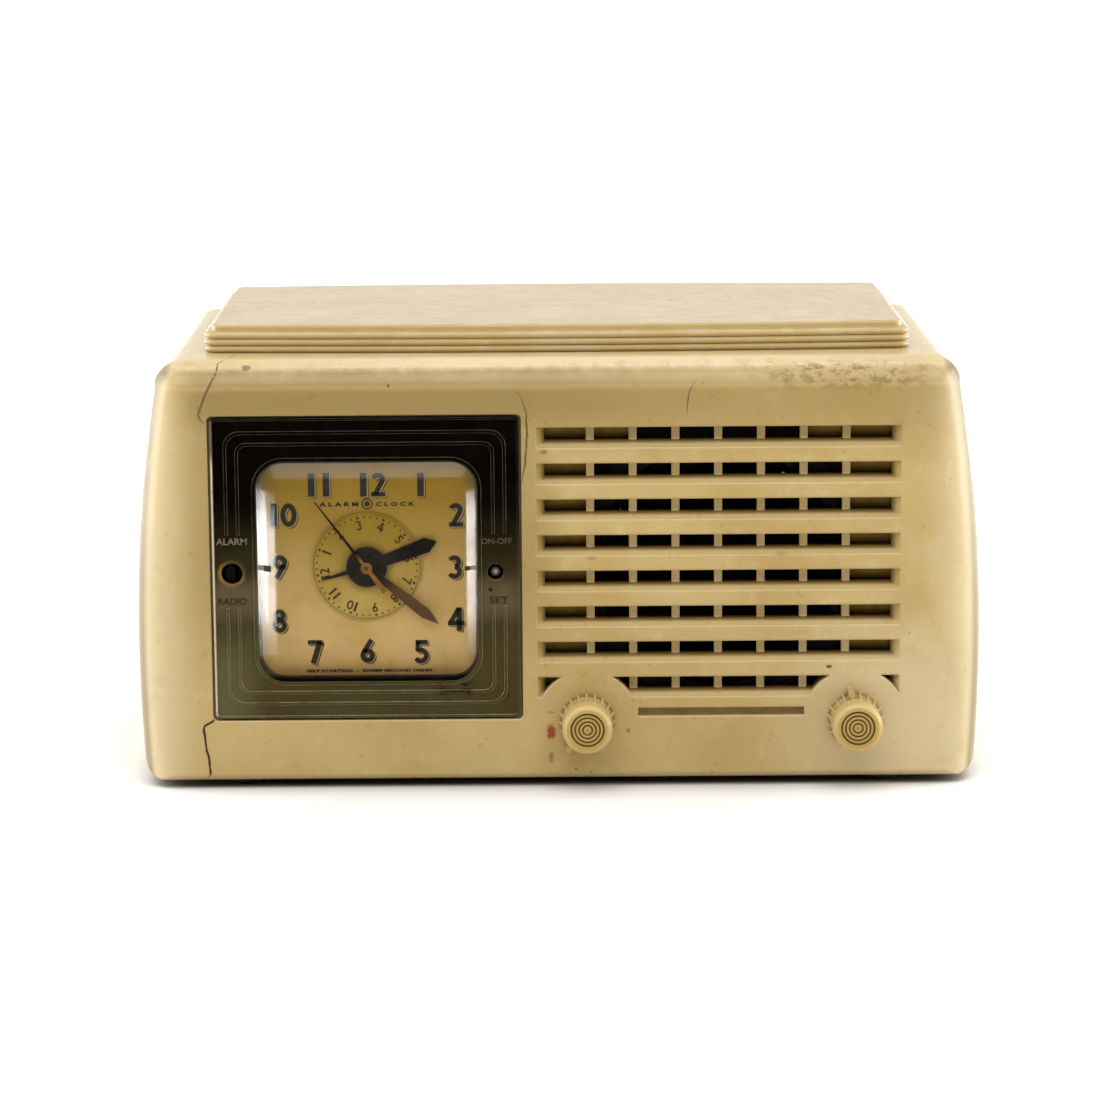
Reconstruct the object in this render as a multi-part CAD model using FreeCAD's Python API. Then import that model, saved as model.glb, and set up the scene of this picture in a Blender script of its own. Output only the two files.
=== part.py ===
import FreeCAD, Part
import math
import os

# Table clock radio in a moulded cabinet: clock on the left, louvred speaker grille on the right.
# Millimetres.  +Z up, the front faces -Y.  Depths are measured back from the cabinet's front face.

# ---------------------------------------------------------------- driving dimensions
HALF_WIDTH = 157.6
SIDE_BULGE_HEIGHT = 52.0
SIDE_BULGE_RADIUS = 640.0
BOTTOM = 3.0
SHOULDER = 161.0
DEPTH = 164.0
WALL = 3.5
FRONT_WALL = 4.0
GRILLE_WALL = 8.0
RIM_RADIUS = 11.8
BOTTOM_EDGE_RADIUS = 2.5
TOP_CORNER_RADIUS = 12.0
BOTTOM_CORNER_RADIUS = 9.0
KNOB_PROUD = 16.5

REED_COUNT = 3
REED_HEIGHT = 2.6
REED_HALF_WIDTH = 132.0
REED_FRONT = 22.0
REED_BACK = 161.0
PANEL_HEIGHT = 2.4
PANEL_INSET = 2.8
PANEL_BOW = 4.5

BEZEL_LEFT, BEZEL_RIGHT = -128.3, -14.5
BEZEL_LOW, BEZEL_HIGH = 27.0, 140.0
BEZEL_GAP = 1.0
BEZEL_FACE = 0.5
BEZEL_BACK = 2.7
CRYSTAL_HALF_X, CRYSTAL_HALF_Z = 40.8, 41.3
CRYSTAL_X, CRYSTAL_Z = -70.9, 82.3
CRYSTAL_CORNER = 10.0

AXIS_X, AXIS_Z = -71.3, 83.4
DIAL_FRONT, DIAL_BACK = 6.0, 6.8
SELECTOR_X, SELECTOR_Z = -121.2, 81.9
SET_X, SET_Z = AXIS_X + 47.9, AXIS_Z - 1.5

GRILLE_LEFT, GRILLE_RIGHT = -8.1, 126.9
GRILLE_BEVEL = 3.1
SLOT_ROWS = 8
SLOT_TOP = 135.96
SLOT_PITCH = 13.45
SLOT_HEIGHT = 7.6
SLAT_RISE = 2.2
BAR_SETBACK = 5.0
BAR_COUNT = 7
BAR_FIRST_X = 11.9
BAR_PITCH = 15.83
BAR_WIDTH = 2.95
TRIM_SLOT = (29.4, 91.3, 26.9, 29.9)
TRIM_SLOT_DEPTH = 2.2

KNOB_CENTRES = {"volume": (10.3, 25.2), "tuning": (110.3, 25.2)}
KNOB_POINTER_DEG = {"volume": 215.0, "tuning": -8.0}
BOSS_RADIUS = 19.1
CONTROL_SHAFT_RADIUS = 3.0
RUNNING = 0.06

SPEAKER_X, SPEAKER_Z = 59.5, 82.0
BAFFLE_FRONT, BAFFLE_BACK = 8.1, 11.1

PAN_LEFT, PAN_RIGHT = -138.0, 84.0
PAN_FRONT, PAN_BACK = 64.0, 150.0
PAN_LOW, PAN_HIGH = 8.0, 36.0
PAN_SHEET = 1.2
TUBE_X = (-112.0, -72.0, -32.0, 8.0, 48.0)
TUBE_D = 128.0
TUBE_NAMES = ("converter_tube", "if_amplifier_tube", "detector_tube", "output_tube", "rectifier_tube")

COVER_FRONT, COVER_BACK = 158.6, 161.6

# The origin is the middle of the base of the bounding box, which runs from the knobs to the back rim.
FRONT_Y = KNOB_PROUD - (DEPTH + KNOB_PROUD) / 2.0
ALONG_Y = FreeCAD.Vector(0, 1, 0)
ALONG_Z = FreeCAD.Vector(0, 0, 1)


# ---------------------------------------------------------------- shape helpers
def at(x, depth, z):
    """Point at x and z, `depth` behind the cabinet's front face."""
    return FreeCAD.Vector(x, FRONT_Y + depth, z)


def box(x0, x1, d0, d1, z0, z1):
    return Part.makeBox(x1 - x0, d1 - d0, z1 - z0, at(x0, d0, z0))


def rod(x, z, d0, d1, radius):
    """Cylinder along the depth."""
    return Part.makeCylinder(radius, d1 - d0, at(x, d0, z), ALONG_Y)


def pipe(x, z, d0, d1, outer, inner):
    return rod(x, z, d0, d1, outer).cut(rod(x, z, d0 - 1, d1 + 1, inner))


def post(x, depth, z0, z1, radius):
    """Upright cylinder."""
    return Part.makeCylinder(radius, z1 - z0, at(x, depth, z0), ALONG_Z)


def edges_along(shape, direction):
    """Straight edges of a shape that run along a unit vector."""
    found = []
    for edge in shape.Edges:
        ends = [vertex.Point for vertex in edge.Vertexes]
        if len(ends) == 2:
            run = ends[1].sub(ends[0])
            if run.Length > 1e-6 and abs(run.dot(direction)) > 0.9999 * run.Length:
                found.append(edge)
    return found


def plate(x0, x1, d0, d1, z0, z1, radius):
    """Slab facing the front, with rounded corners."""
    slab = box(x0, x1, d0, d1, z0, z1)
    return slab.makeFillet(radius, edges_along(slab, ALONG_Y))


def upright_block(x0, x1, d0, d1, z0, z1, radius):
    """Block with its upright edges rounded."""
    block = box(x0, x1, d0, d1, z0, z1)
    return block.makeFillet(radius, edges_along(block, ALONG_Z))


def turned_on_depth(x, z, profile):
    """Body of revolution about a line along the depth.  The profile is (radius, depth) pairs."""
    points = [at(x + radius, depth, z) for radius, depth in profile]
    face = Part.Face(Part.makePolygon(points + [points[0]]))
    return face.revolve(at(x, 0, z), ALONG_Y, 360)


def turned_upright(x, depth, profile):
    """Body of revolution about an upright line.  The profile is (radius, height) pairs."""
    points = [at(x + radius, depth, z) for radius, z in profile]
    face = Part.Face(Part.makePolygon(points + [points[0]]))
    return face.revolve(at(x, depth, 0), ALONG_Z, 360)


def fuse_all(shapes):
    return shapes[0].multiFuse(shapes[1:]) if len(shapes) > 1 else shapes[0]


def extruded(points, d0, d1):
    """Prism along the depth from (x, z) corners."""
    corners = [at(x, d0, z) for x, z in points]
    face = Part.Face(Part.makePolygon(corners + [corners[0]]))
    return face.extrude(FreeCAD.Vector(0, d1 - d0, 0))


def clockwise(x, z, radius, degrees):
    """Point at a clock angle, measured clockwise from 12 as seen from the front."""
    angle = math.radians(degrees)
    return x + radius * math.sin(angle), z + radius * math.cos(angle)


def turned_clockwise(shape, x, z, degrees):
    turned = shape.copy()
    turned.rotate(at(x, 0, z), ALONG_Y, degrees)
    return turned


def save(name, *solids):
    shape = solids[0] if len(solids) == 1 else Part.makeCompound(list(solids))
    count = len(shape.Solids)
    if not shape.isValid() or count != len(solids):
        print("CHECK", name, "valid", shape.isValid(), "solids", count, "expected", len(solids))
    shape.exportStep("parts/%s.step" % name)


# ---------------------------------------------------------------- cabinet
def side_x(z, inset):
    """Half width of the gently bowed side at a height."""
    radius = SIDE_BULGE_RADIUS
    return HALF_WIDTH - inset - (radius - math.sqrt(radius ** 2 - (z - SIDE_BULGE_HEIGHT) ** 2))


def outline(inset, depth):
    """Closed front outline: flat base and shoulder, bowed sides."""
    low = BOTTOM + inset
    high = SHOULDER - inset
    corners = [at(-side_x(low, inset), depth, low), at(side_x(low, inset), depth, low)]
    tops = [at(side_x(high, inset), depth, high), at(-side_x(high, inset), depth, high)]
    right = at(side_x(SIDE_BULGE_HEIGHT, inset), depth, SIDE_BULGE_HEIGHT)
    left = at(-side_x(SIDE_BULGE_HEIGHT, inset), depth, SIDE_BULGE_HEIGHT)
    edges = [
        Part.LineSegment(corners[0], corners[1]).toShape(),
        Part.Arc(corners[1], right, tops[0]).toShape(),
        Part.LineSegment(tops[0], tops[1]).toShape(),
        Part.Arc(tops[1], left, corners[0]).toShape(),
    ]
    return Part.Wire(edges)


def outline_block(inset, d0, d1):
    """Prism of the outline with its four long edges rounded."""
    block = Part.Face(outline(inset, d0)).extrude(FreeCAD.Vector(0, d1 - d0, 0))
    long_edges = edges_along(block, ALONG_Y)
    upper = [edge for edge in long_edges if edge.CenterOfMass.z > SIDE_BULGE_HEIGHT]
    block = block.makeFillet(TOP_CORNER_RADIUS - inset, upper)
    lower = [edge for edge in edges_along(block, ALONG_Y) if edge.CenterOfMass.z < SIDE_BULGE_HEIGHT]
    lower = [edge for edge in lower if edge.CenterOfMass.z < BOTTOM + inset + 0.5]
    return block.makeFillet(max(BOTTOM_CORNER_RADIUS - inset, 1.0), lower)


def bottom_corner_cutter(side):
    """Sliver outside the round corner between the base and one bowed side."""
    big_x = HALF_WIDTH - SIDE_BULGE_RADIUS
    reach = SIDE_BULGE_RADIUS - BOTTOM_CORNER_RADIUS
    drop = BOTTOM + BOTTOM_CORNER_RADIUS - SIDE_BULGE_HEIGHT
    run = math.sqrt(reach ** 2 - drop ** 2)
    centre_x, centre_z = big_x + run, BOTTOM + BOTTOM_CORNER_RADIUS
    share = SIDE_BULGE_RADIUS / reach
    on_side = (big_x + run * share, SIDE_BULGE_HEIGHT + drop * share)
    on_base = (centre_x, BOTTOM)
    diagonal = BOTTOM_CORNER_RADIUS * math.sqrt(0.5)
    on_arc = (centre_x + diagonal, centre_z - diagonal)
    path = [on_side, (on_side[0] + 6.0, on_side[1]), (on_side[0] + 6.0, BOTTOM - 6.0),
            (on_base[0], BOTTOM - 6.0), on_base]
    points = [at(side * x, -1.0, z) for x, z in path]
    edges = [Part.LineSegment(points[k], points[k + 1]).toShape() for k in range(len(points) - 1)]
    edges.append(Part.Arc(points[-1], at(side * on_arc[0], -1.0, on_arc[1]), points[0]).toShape())
    return Part.Face(Part.Wire(edges)).extrude(FreeCAD.Vector(0, DEPTH + 2.0, 0))


def rounded_front_block():
    """Outline prism with its front rim rounded down the sides and along the top, crisp at the base."""
    deep = BOTTOM - 40.0
    high = SHOULDER
    corners = [at(-side_x(deep, 0.0), 0.0, deep), at(side_x(deep, 0.0), 0.0, deep)]
    tops = [at(side_x(high, 0.0), 0.0, high), at(-side_x(high, 0.0), 0.0, high)]
    wire = Part.Wire([
        Part.LineSegment(corners[0], corners[1]).toShape(),
        Part.Arc(corners[1], at(HALF_WIDTH, 0.0, SIDE_BULGE_HEIGHT), tops[0]).toShape(),
        Part.LineSegment(tops[0], tops[1]).toShape(),
        Part.Arc(tops[1], at(-HALF_WIDTH, 0.0, SIDE_BULGE_HEIGHT), corners[0]).toShape(),
    ])
    block = Part.Face(wire).extrude(FreeCAD.Vector(0, DEPTH, 0))
    upper = [edge for edge in edges_along(block, ALONG_Y) if edge.CenterOfMass.z > SIDE_BULGE_HEIGHT]
    block = block.makeFillet(TOP_CORNER_RADIUS, upper)
    rim = [edge for edge in block.Edges
           if edge.BoundBox.YMax < FRONT_Y + 0.01 and edge.CenterOfMass.z > deep + 1.0]
    block = block.makeFillet(RIM_RADIUS, rim)
    sill = box(-200.0, 200.0, 0.0, DEPTH, BOTTOM, SHOULDER + 1.0)
    sill_edge = [edge for edge in edges_along(sill, FreeCAD.Vector(1, 0, 0))
                 if edge.CenterOfMass.z < BOTTOM + 0.01 and edge.CenterOfMass.y < FRONT_Y + 0.01]
    sill = sill.makeFillet(BOTTOM_EDGE_RADIUS, sill_edge)
    return block.common(sill).cut(bottom_corner_cutter(1.0)).cut(bottom_corner_cutter(-1.0))


def top_slab(half_width, front, back, z0, z1, corner, rim):
    """Slab on the cabinet's top whose front and back edges bow outwards a little."""
    bow = PANEL_BOW
    front_left, front_right = at(-half_width, front + bow, z0), at(half_width, front + bow, z0)
    back_right, back_left = at(half_width, back - bow, z0), at(-half_width, back - bow, z0)
    edges = [
        Part.Arc(front_left, at(0, front, z0), front_right).toShape(),
        Part.LineSegment(front_right, back_right).toShape(),
        Part.Arc(back_right, at(0, back, z0), back_left).toShape(),
        Part.LineSegment(back_left, front_left).toShape(),
    ]
    slab = Part.Face(Part.Wire(edges)).extrude(FreeCAD.Vector(0, 0, z1 - z0))
    slab = slab.makeFillet(corner, edges_along(slab, ALONG_Z))
    rims = [edge for edge in slab.Edges if edge.BoundBox.ZLength < 0.01]
    if rim < 1.0:
        rims = [edge for edge in rims if edge.CenterOfMass.z > z1 - 0.01]
    return slab.makeFillet(rim, rims)


def grille_cutter(row):
    """One louvre: a bevelled mouth whose floor slopes up to the recessed bars, then eight cells."""
    top = SLOT_TOP - row * SLOT_PITCH
    low = top - SLOT_HEIGHT
    inner_left, inner_right = GRILLE_LEFT + GRILLE_BEVEL, GRILLE_RIGHT - GRILLE_BEVEL
    overshoot = 0.5
    slope = SLAT_RISE / BAR_SETBACK
    bevel = GRILLE_BEVEL / BAR_SETBACK
    mouth = [
        at(GRILLE_LEFT - bevel * overshoot, -overshoot, low - slope * overshoot),
        at(GRILLE_RIGHT + bevel * overshoot, -overshoot, low - slope * overshoot),
        at(GRILLE_RIGHT + bevel * overshoot, -overshoot, top),
        at(GRILLE_LEFT - bevel * overshoot, -overshoot, top),
    ]
    throat = [
        at(inner_left, BAR_SETBACK, low + SLAT_RISE),
        at(inner_right, BAR_SETBACK, low + SLAT_RISE),
        at(inner_right, BAR_SETBACK, top),
        at(inner_left, BAR_SETBACK, top),
    ]
    wires = [Part.makePolygon(points + [points[0]]) for points in (mouth, throat)]
    cutter = Part.makeLoft(wires, True, True)
    left = inner_left
    for bar in range(BAR_COUNT + 1):
        centre = BAR_FIRST_X + bar * BAR_PITCH
        right = centre - BAR_WIDTH / 2.0 if bar < BAR_COUNT else inner_right
        cell = box(left, right, BAR_SETBACK - 0.1, GRILLE_WALL + 1.0, low + SLAT_RISE, top)
        cutter = cutter.fuse(cell)
        left = centre + BAR_WIDTH / 2.0
    if row == SLOT_ROWS - 1:
        for x, z in KNOB_CENTRES.values():
            cutter = cutter.cut(rod(x, z, -2.0, GRILLE_WALL + 2.0, BOSS_RADIUS))
    return cutter


def cabinet():
    body = rounded_front_block()
    stack_top = SHOULDER
    for _ in range(REED_COUNT):
        reed = top_slab(REED_HALF_WIDTH, REED_FRONT, REED_BACK, stack_top - 0.02,
                        stack_top + REED_HEIGHT, 5.0, 1.25)
        body = body.fuse(reed)
        stack_top += REED_HEIGHT
    under_reeds = top_slab(REED_HALF_WIDTH - 1.4, REED_FRONT + 1.4, REED_BACK - 1.4,
                           SHOULDER - 2.0, stack_top, 4.0, 0.3)
    panel = top_slab(REED_HALF_WIDTH - PANEL_INSET, REED_FRONT + PANEL_INSET,
                     REED_BACK - PANEL_INSET, stack_top - 0.6, stack_top + PANEL_HEIGHT, 3.2, 0.7)
    body = body.fuse(under_reeds).fuse(panel)

    hollow = outline_block(WALL, FRONT_WALL, DEPTH + 1.0)
    front_rim = [edge for edge in hollow.Edges if edge.BoundBox.YMax < FRONT_Y + FRONT_WALL + 0.01]
    hollow = hollow.makeFillet(7.0, front_rim)
    attic = upright_block(-REED_HALF_WIDTH + 6.0, REED_HALF_WIDTH - 6.0, REED_FRONT + 14.0,
                          REED_BACK - 10.0, SHOULDER - 20.0, stack_top + PANEL_HEIGHT - WALL, 8.0)
    body = body.cut(hollow).cut(attic)

    grille_pad = box(GRILLE_LEFT - 4.0, GRILLE_RIGHT + 4.0, 1.0, GRILLE_WALL, 27.0, 141.5)
    bosses = [rod(x, z, 1.0, GRILLE_WALL, BOSS_RADIUS + 1.0) for x, z in KNOB_CENTRES.values()]
    floor_posts = [post(x, d, 5.0, PAN_LOW, 5.0) for x, d in CHASSIS_SCREWS]
    cover_posts = []
    for x, z in COVER_SCREWS:
        side = 1.0 if x > 0 else -1.0
        outer = side * (abs(x) + 14.0)
        block = box(min(x - side * 5.0, outer), max(x - side * 5.0, outer), 138.0, COVER_FRONT,
                    z - 5.0, z + 5.0)
        cover_posts.append(block.common(outline_block(1.0, 100.0, DEPTH)))
    body = body.multiFuse([grille_pad] + bosses + floor_posts + cover_posts)

    recess = plate(BEZEL_LEFT - BEZEL_GAP, BEZEL_RIGHT + BEZEL_GAP, -1.0, BEZEL_BACK + 0.1,
                   BEZEL_LOW - BEZEL_GAP, BEZEL_HIGH + BEZEL_GAP, 2.0)
    aperture = plate(BEZEL_LEFT + 2.3, BEZEL_RIGHT - 2.8, -1.0, FRONT_WALL + 9.0,
                     BEZEL_LOW + 7.0, BEZEL_HIGH - 7.0, 4.0)
    trim = box(TRIM_SLOT[0], TRIM_SLOT[1], -1.0, TRIM_SLOT_DEPTH, TRIM_SLOT[2], TRIM_SLOT[3])
    cutters = [recess, aperture, trim] + [grille_cutter(row) for row in range(SLOT_ROWS)]
    for x, z in KNOB_CENTRES.values():
        cutters.append(rod(x, z, -1.0, GRILLE_WALL + 1.0, CONTROL_SHAFT_RADIUS + 1.2))
    for x, z in BEZEL_STUDS:
        cutters.append(rod(x, z, 0.0, FRONT_WALL + 1.0, STUD_RADIUS + 0.3))
    for x, z in BAFFLE_SCREWS:
        cutters.append(rod(x, z, 4.5, GRILLE_WALL + 1.0, SCREW_RADIUS + 0.05))
    for x, z in COVER_SCREWS:
        cutters.append(rod(x, z, 146.0, COVER_FRONT + 1.0, SCREW_RADIUS + 0.05))
    for x, d in CHASSIS_SCREWS:
        cutters.append(post(x, d, 1.0, PAN_LOW + 1.0, SCREW_RADIUS + 0.3))
        cutters.append(post(x, d, 1.0, BOTTOM + 2.0, SCREW_HEAD_RADIUS + 0.6))
    for x, d in FEET:
        cutters.append(post(x, d, 1.0, BOTTOM + 1.5, FOOT_RADIUS - 1.5))
    return body.cut(fuse_all(cutters))


# ---------------------------------------------------------------- fasteners and feet
SCREW_RADIUS = 1.5
SCREW_HEAD_RADIUS = 3.0
STUD_RADIUS = 1.4
FOOT_RADIUS = 7.0
FEET = [(-119.0, 14.0), (121.0, 14.0), (-119.0, 146.0), (121.0, 146.0)]
BEZEL_STUDS = [(-111.4, 30.6), (-31.4, 30.6), (-111.4, 136.4), (-31.4, 136.4)]
BAFFLE_SCREWS = [(-8.9, 37.0), (127.7, 48.0), (-8.9, 136.0), (127.7, 136.0)]
CHASSIS_SCREWS = [(-130.0, 72.0), (-130.0, 142.0), (76.0, 142.0), (132.0, 72.0)]
COVER_SCREWS = [(-143.0, 20.0), (143.0, 20.0), (-139.0, 140.0), (139.0, 140.0)]


def screw_along_depth(x, z, head_depth, tip_depth):
    """Round-head screw driven towards the front, with a straight driver slot."""
    shank = rod(x, z, tip_depth, head_depth, SCREW_RADIUS)
    head = turned_on_depth(x, z, [(0, head_depth), (SCREW_HEAD_RADIUS, head_depth),
                                  (SCREW_HEAD_RADIUS, head_depth + 0.8), (2.0, head_depth + 1.8),
                                  (0, head_depth + 1.9)])
    slot = box(x - 0.4, x + 0.4, head_depth + 0.9, head_depth + 3.0, z - 4.0, z + 4.0)
    return shank.fuse(head).cut(slot)


def chassis_screw(x, d):
    """Hexagon-head screw driven up through the cabinet floor."""
    shank = post(x, d, BOTTOM + 2.0, PAN_LOW + 6.0, SCREW_RADIUS)
    corners = [at(x + SCREW_HEAD_RADIUS * math.cos(math.radians(60 * k)),
                  d + SCREW_HEAD_RADIUS * math.sin(math.radians(60 * k)), BOTTOM + 0.2)
               for k in range(6)]
    head = Part.Face(Part.makePolygon(corners + [corners[0]])).extrude(FreeCAD.Vector(0, 0, 1.8))
    return shank.fuse(head)


def foot(x, d):
    """Rubber foot with a spigot that presses into the cabinet floor."""
    pad = turned_upright(x, d, [(0, 0), (FOOT_RADIUS - 0.8, 0), (FOOT_RADIUS, 0.8),
                                (FOOT_RADIUS, BOTTOM), (0, BOTTOM)])
    spigot = post(x, d, BOTTOM - 0.5, BOTTOM + 1.4, FOOT_RADIUS - 1.55)
    return pad.fuse(spigot)


# ---------------------------------------------------------------- clock front
def frame_ridge(offset, width, corner):
    """Raised line parallel to the bezel's edge, broken at both sides for the control labels."""
    front = BEZEL_FACE - 0.45
    outer = plate(BEZEL_LEFT + offset, BEZEL_RIGHT - offset, front, BEZEL_FACE + 0.1,
                  BEZEL_LOW + offset, BEZEL_HIGH - offset, corner)
    inner = plate(BEZEL_LEFT + offset + width, BEZEL_RIGHT - offset - width, front - 1.0,
                  BEZEL_FACE + 1.0, BEZEL_LOW + offset + width, BEZEL_HIGH - offset - width,
                  corner - 0.6)
    gap = box(BEZEL_LEFT - 5.0, BEZEL_RIGHT + 5.0, front - 1.0, BEZEL_FACE + 1.0, 69.0, 96.5)
    return outer.cut(inner).cut(gap)


def crystal_opening(grow, d0, d1):
    return plate(CRYSTAL_X - CRYSTAL_HALF_X - grow, CRYSTAL_X + CRYSTAL_HALF_X + grow, d0, d1,
                 CRYSTAL_Z - CRYSTAL_HALF_Z - grow, CRYSTAL_Z + CRYSTAL_HALF_Z + grow,
                 CRYSTAL_CORNER + grow)


def clock_bezel():
    body = plate(BEZEL_LEFT, BEZEL_RIGHT, BEZEL_FACE, BEZEL_BACK, BEZEL_LOW, BEZEL_HIGH, 2.0)
    lip_outer = plate(BEZEL_LEFT, BEZEL_RIGHT, 0.0, BEZEL_FACE + 0.1, BEZEL_LOW, BEZEL_HIGH, 2.0)
    lip_inner = plate(BEZEL_LEFT + 0.8, BEZEL_RIGHT - 0.8, -1.0, BEZEL_FACE + 0.5, BEZEL_LOW + 0.8,
                      BEZEL_HIGH - 0.8, 1.4)
    rim = crystal_opening(1.6, BEZEL_FACE - 0.5, BEZEL_FACE + 0.1)
    raised = [lip_outer.cut(lip_inner), frame_ridge(4.8, 1.1, 6.0), frame_ridge(9.1, 1.1, 4.0), rim]
    studs = [rod(x, z, BEZEL_BACK - 0.5, FRONT_WALL + 7.0, STUD_RADIUS) for x, z in BEZEL_STUDS]
    body = body.multiFuse(raised + studs)
    holes = [
        crystal_opening(0.2, -2.0, BEZEL_BACK + 1.0),
        rod(SELECTOR_X, SELECTOR_Z, -2.0, BEZEL_BACK + 1.0, 4.0),
        rod(SET_X, SET_Z, -2.0, BEZEL_BACK + 1.0, 3.0),
    ]
    return body.cut(fuse_all(holes))


def bezel_nut(x, z):
    corners = [clockwise(x, z, 3.2, 60 * k) for k in range(6)]
    nut = extruded(corners, FRONT_WALL + 0.05, FRONT_WALL + 2.4)
    return nut.cut(rod(x, z, FRONT_WALL - 1.0, FRONT_WALL + 4.0, STUD_RADIUS + 0.03))


def clock_crystal():
    """Square domed crystal with a flange that clamps behind the bezel."""
    crown = crystal_opening(0.0, -4.5, 3.0)
    rim = [edge for edge in crown.Edges if edge.BoundBox.YMax < FRONT_Y - 4.4]
    crown = crown.makeFillet(6.0, rim)
    flange = crystal_opening(2.2, BEZEL_BACK + 0.1, BEZEL_BACK + 1.1)
    inside = crystal_opening(-1.8, -2.7, 6.0)
    rim = [edge for edge in inside.Edges if edge.BoundBox.YMax < FRONT_Y - 2.6]
    inside = inside.makeFillet(4.4, rim)
    return crown.common(crystal_opening(1.0, -6.0, BEZEL_BACK + 0.6)).fuse(flange).cut(inside)


def crystal_gasket():
    ring = crystal_opening(2.2, BEZEL_BACK + 1.1, DIAL_FRONT)
    return ring.cut(crystal_opening(-0.9, 0.0, DIAL_FRONT + 1.0))


def clock_dial():
    face = crystal_opening(3.0, DIAL_FRONT, DIAL_BACK)
    return face.cut(rod(AXIS_X, AXIS_Z, 0.0, 10.0, ALARM_PIPE + 0.3))


# ---------------------------------------------------------------- clock works
SECOND_ARBOR = 0.62
MINUTE_PIPE = 1.19
HOUR_PIPE = 1.80
ALARM_PIPE = 2.45
PLATE_FRONT, PLATE_BACK = 18.0, 19.2
REAR_PLATE_FRONT, REAR_PLATE_BACK = 34.0, 35.2
CANNON_TEETH, MOTION_TEETH, MOTION_MODULE = 12, 36, 0.625
LEAF_TEETH, HOUR_TEETH, HOUR_MODULE = 10, 40, 0.6
SET_TEETH, IDLER_TEETH, SET_MODULE = 24, 36, 0.8
SECONDS_TEETH, MOTOR_TEETH, SECONDS_MODULE = 54, 15, 0.5
DOWN = math.radians(-90.0)
HOUR_DEG, MINUTE_DEG, SECOND_DEG = 70.0, 129.0, 323.0
ALARM_DEG = 260.0

motion_distance = MOTION_MODULE * (CANNON_TEETH + MOTION_TEETH) / 2.0
MOTION_X, MOTION_Z = AXIS_X, AXIS_Z - motion_distance
idler_reach = SET_MODULE * (SET_TEETH + IDLER_TEETH) / 2.0
set_span = math.hypot(SET_X - AXIS_X, SET_Z - AXIS_Z)
set_bearing = math.atan2(SET_Z - AXIS_Z, SET_X - AXIS_X)
IDLER_BEARING = set_bearing + math.acos(set_span / 2.0 / idler_reach)
IDLER_X = AXIS_X + idler_reach * math.cos(IDLER_BEARING)
IDLER_Z = AXIS_Z + idler_reach * math.sin(IDLER_BEARING)
MOTOR_BEARING = math.radians(205.0)
motor_distance = SECONDS_MODULE * (SECONDS_TEETH + MOTOR_TEETH) / 2.0
MOTOR_X = AXIS_X + motor_distance * math.cos(MOTOR_BEARING)
MOTOR_Z = AXIS_Z + motor_distance * math.sin(MOTOR_BEARING)


def gear(x, z, d0, d1, module, teeth, bore, phase):
    """Spur gear whose tapered teeth leave backlash.  phase is the bearing of one tooth."""
    pitch_radius = module * teeth / 2.0
    root_radius = pitch_radius - 1.15 * module
    tip_radius = pitch_radius + 0.75 * module
    step = 2.0 * math.pi / teeth
    points = []
    for tooth in range(teeth):
        centre = phase + tooth * step
        flanks = ((-0.26, root_radius), (-0.12, tip_radius), (0.12, tip_radius), (0.26, root_radius))
        for share, radius in flanks:
            angle = centre + share * step
            points.append((x + radius * math.cos(angle), z + radius * math.sin(angle)))
    return extruded(points, d0, d1).cut(rod(x, z, d0 - 1.0, d1 + 1.0, bore))


def mesh_phase(phase, teeth, mate_teeth, bearing):
    """Tooth bearing that puts a mate, lying along `bearing`, in mesh with a gear."""
    past_tooth = (bearing - phase) % (2.0 * math.pi / teeth)
    return bearing + math.pi + past_tooth * teeth / mate_teeth + math.pi / mate_teeth


def blade(x, z, d0, d1, degrees, stations):
    """Flat hand: (distance along, half width) stations, pointing along a clock angle."""
    left = [(x - half, z + along) for along, half in stations]
    right = [(x + half, z + along) for along, half in reversed(stations)]
    outline_points = []
    for point in left + right:
        if not outline_points or point != outline_points[-1]:
            outline_points.append(point)
    return turned_clockwise(extruded(outline_points, d0, d1), x, z, degrees)


def hour_hand():
    d0, d1 = 4.0, 4.5
    hub = rod(AXIS_X, AXIS_Z, d0, d1, 7.6)
    hand = blade(AXIS_X, AXIS_Z, d0, d1, HOUR_DEG,
                 [(0, 1.6), (8, 2.2), (15, 2.6), (24, 2.9), (27.7, 0.15)])
    tail = blade(AXIS_X, AXIS_Z, d0, d1, HOUR_DEG + 184.0, [(0, 0.9), (7, 0.9), (17.6, 0.25)])
    return hub.multiFuse([hand, tail]).cut(rod(AXIS_X, AXIS_Z, 0.0, 9.0, HOUR_PIPE + 0.02))


def hour_wheel():
    tube = pipe(AXIS_X, AXIS_Z, 3.6, 11.4, HOUR_PIPE, MINUTE_PIPE + RUNNING)
    wheel = gear(AXIS_X, AXIS_Z, 9.6, 10.6, HOUR_MODULE, HOUR_TEETH, HOUR_PIPE - 0.2, DOWN)
    return tube.fuse(wheel)


def minute_hand():
    d0, d1 = 2.8, 3.3
    hub = rod(AXIS_X, AXIS_Z, d0, d1, 3.0)
    hand = blade(AXIS_X, AXIS_Z, d0, d1, MINUTE_DEG,
                 [(-6, 0.8), (0, 1.0), (10, 1.5), (22, 2.0), (28, 2.1), (34, 0.15)])
    return hub.fuse(hand).cut(rod(AXIS_X, AXIS_Z, 0.0, 9.0, MINUTE_PIPE + 0.02))


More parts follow.
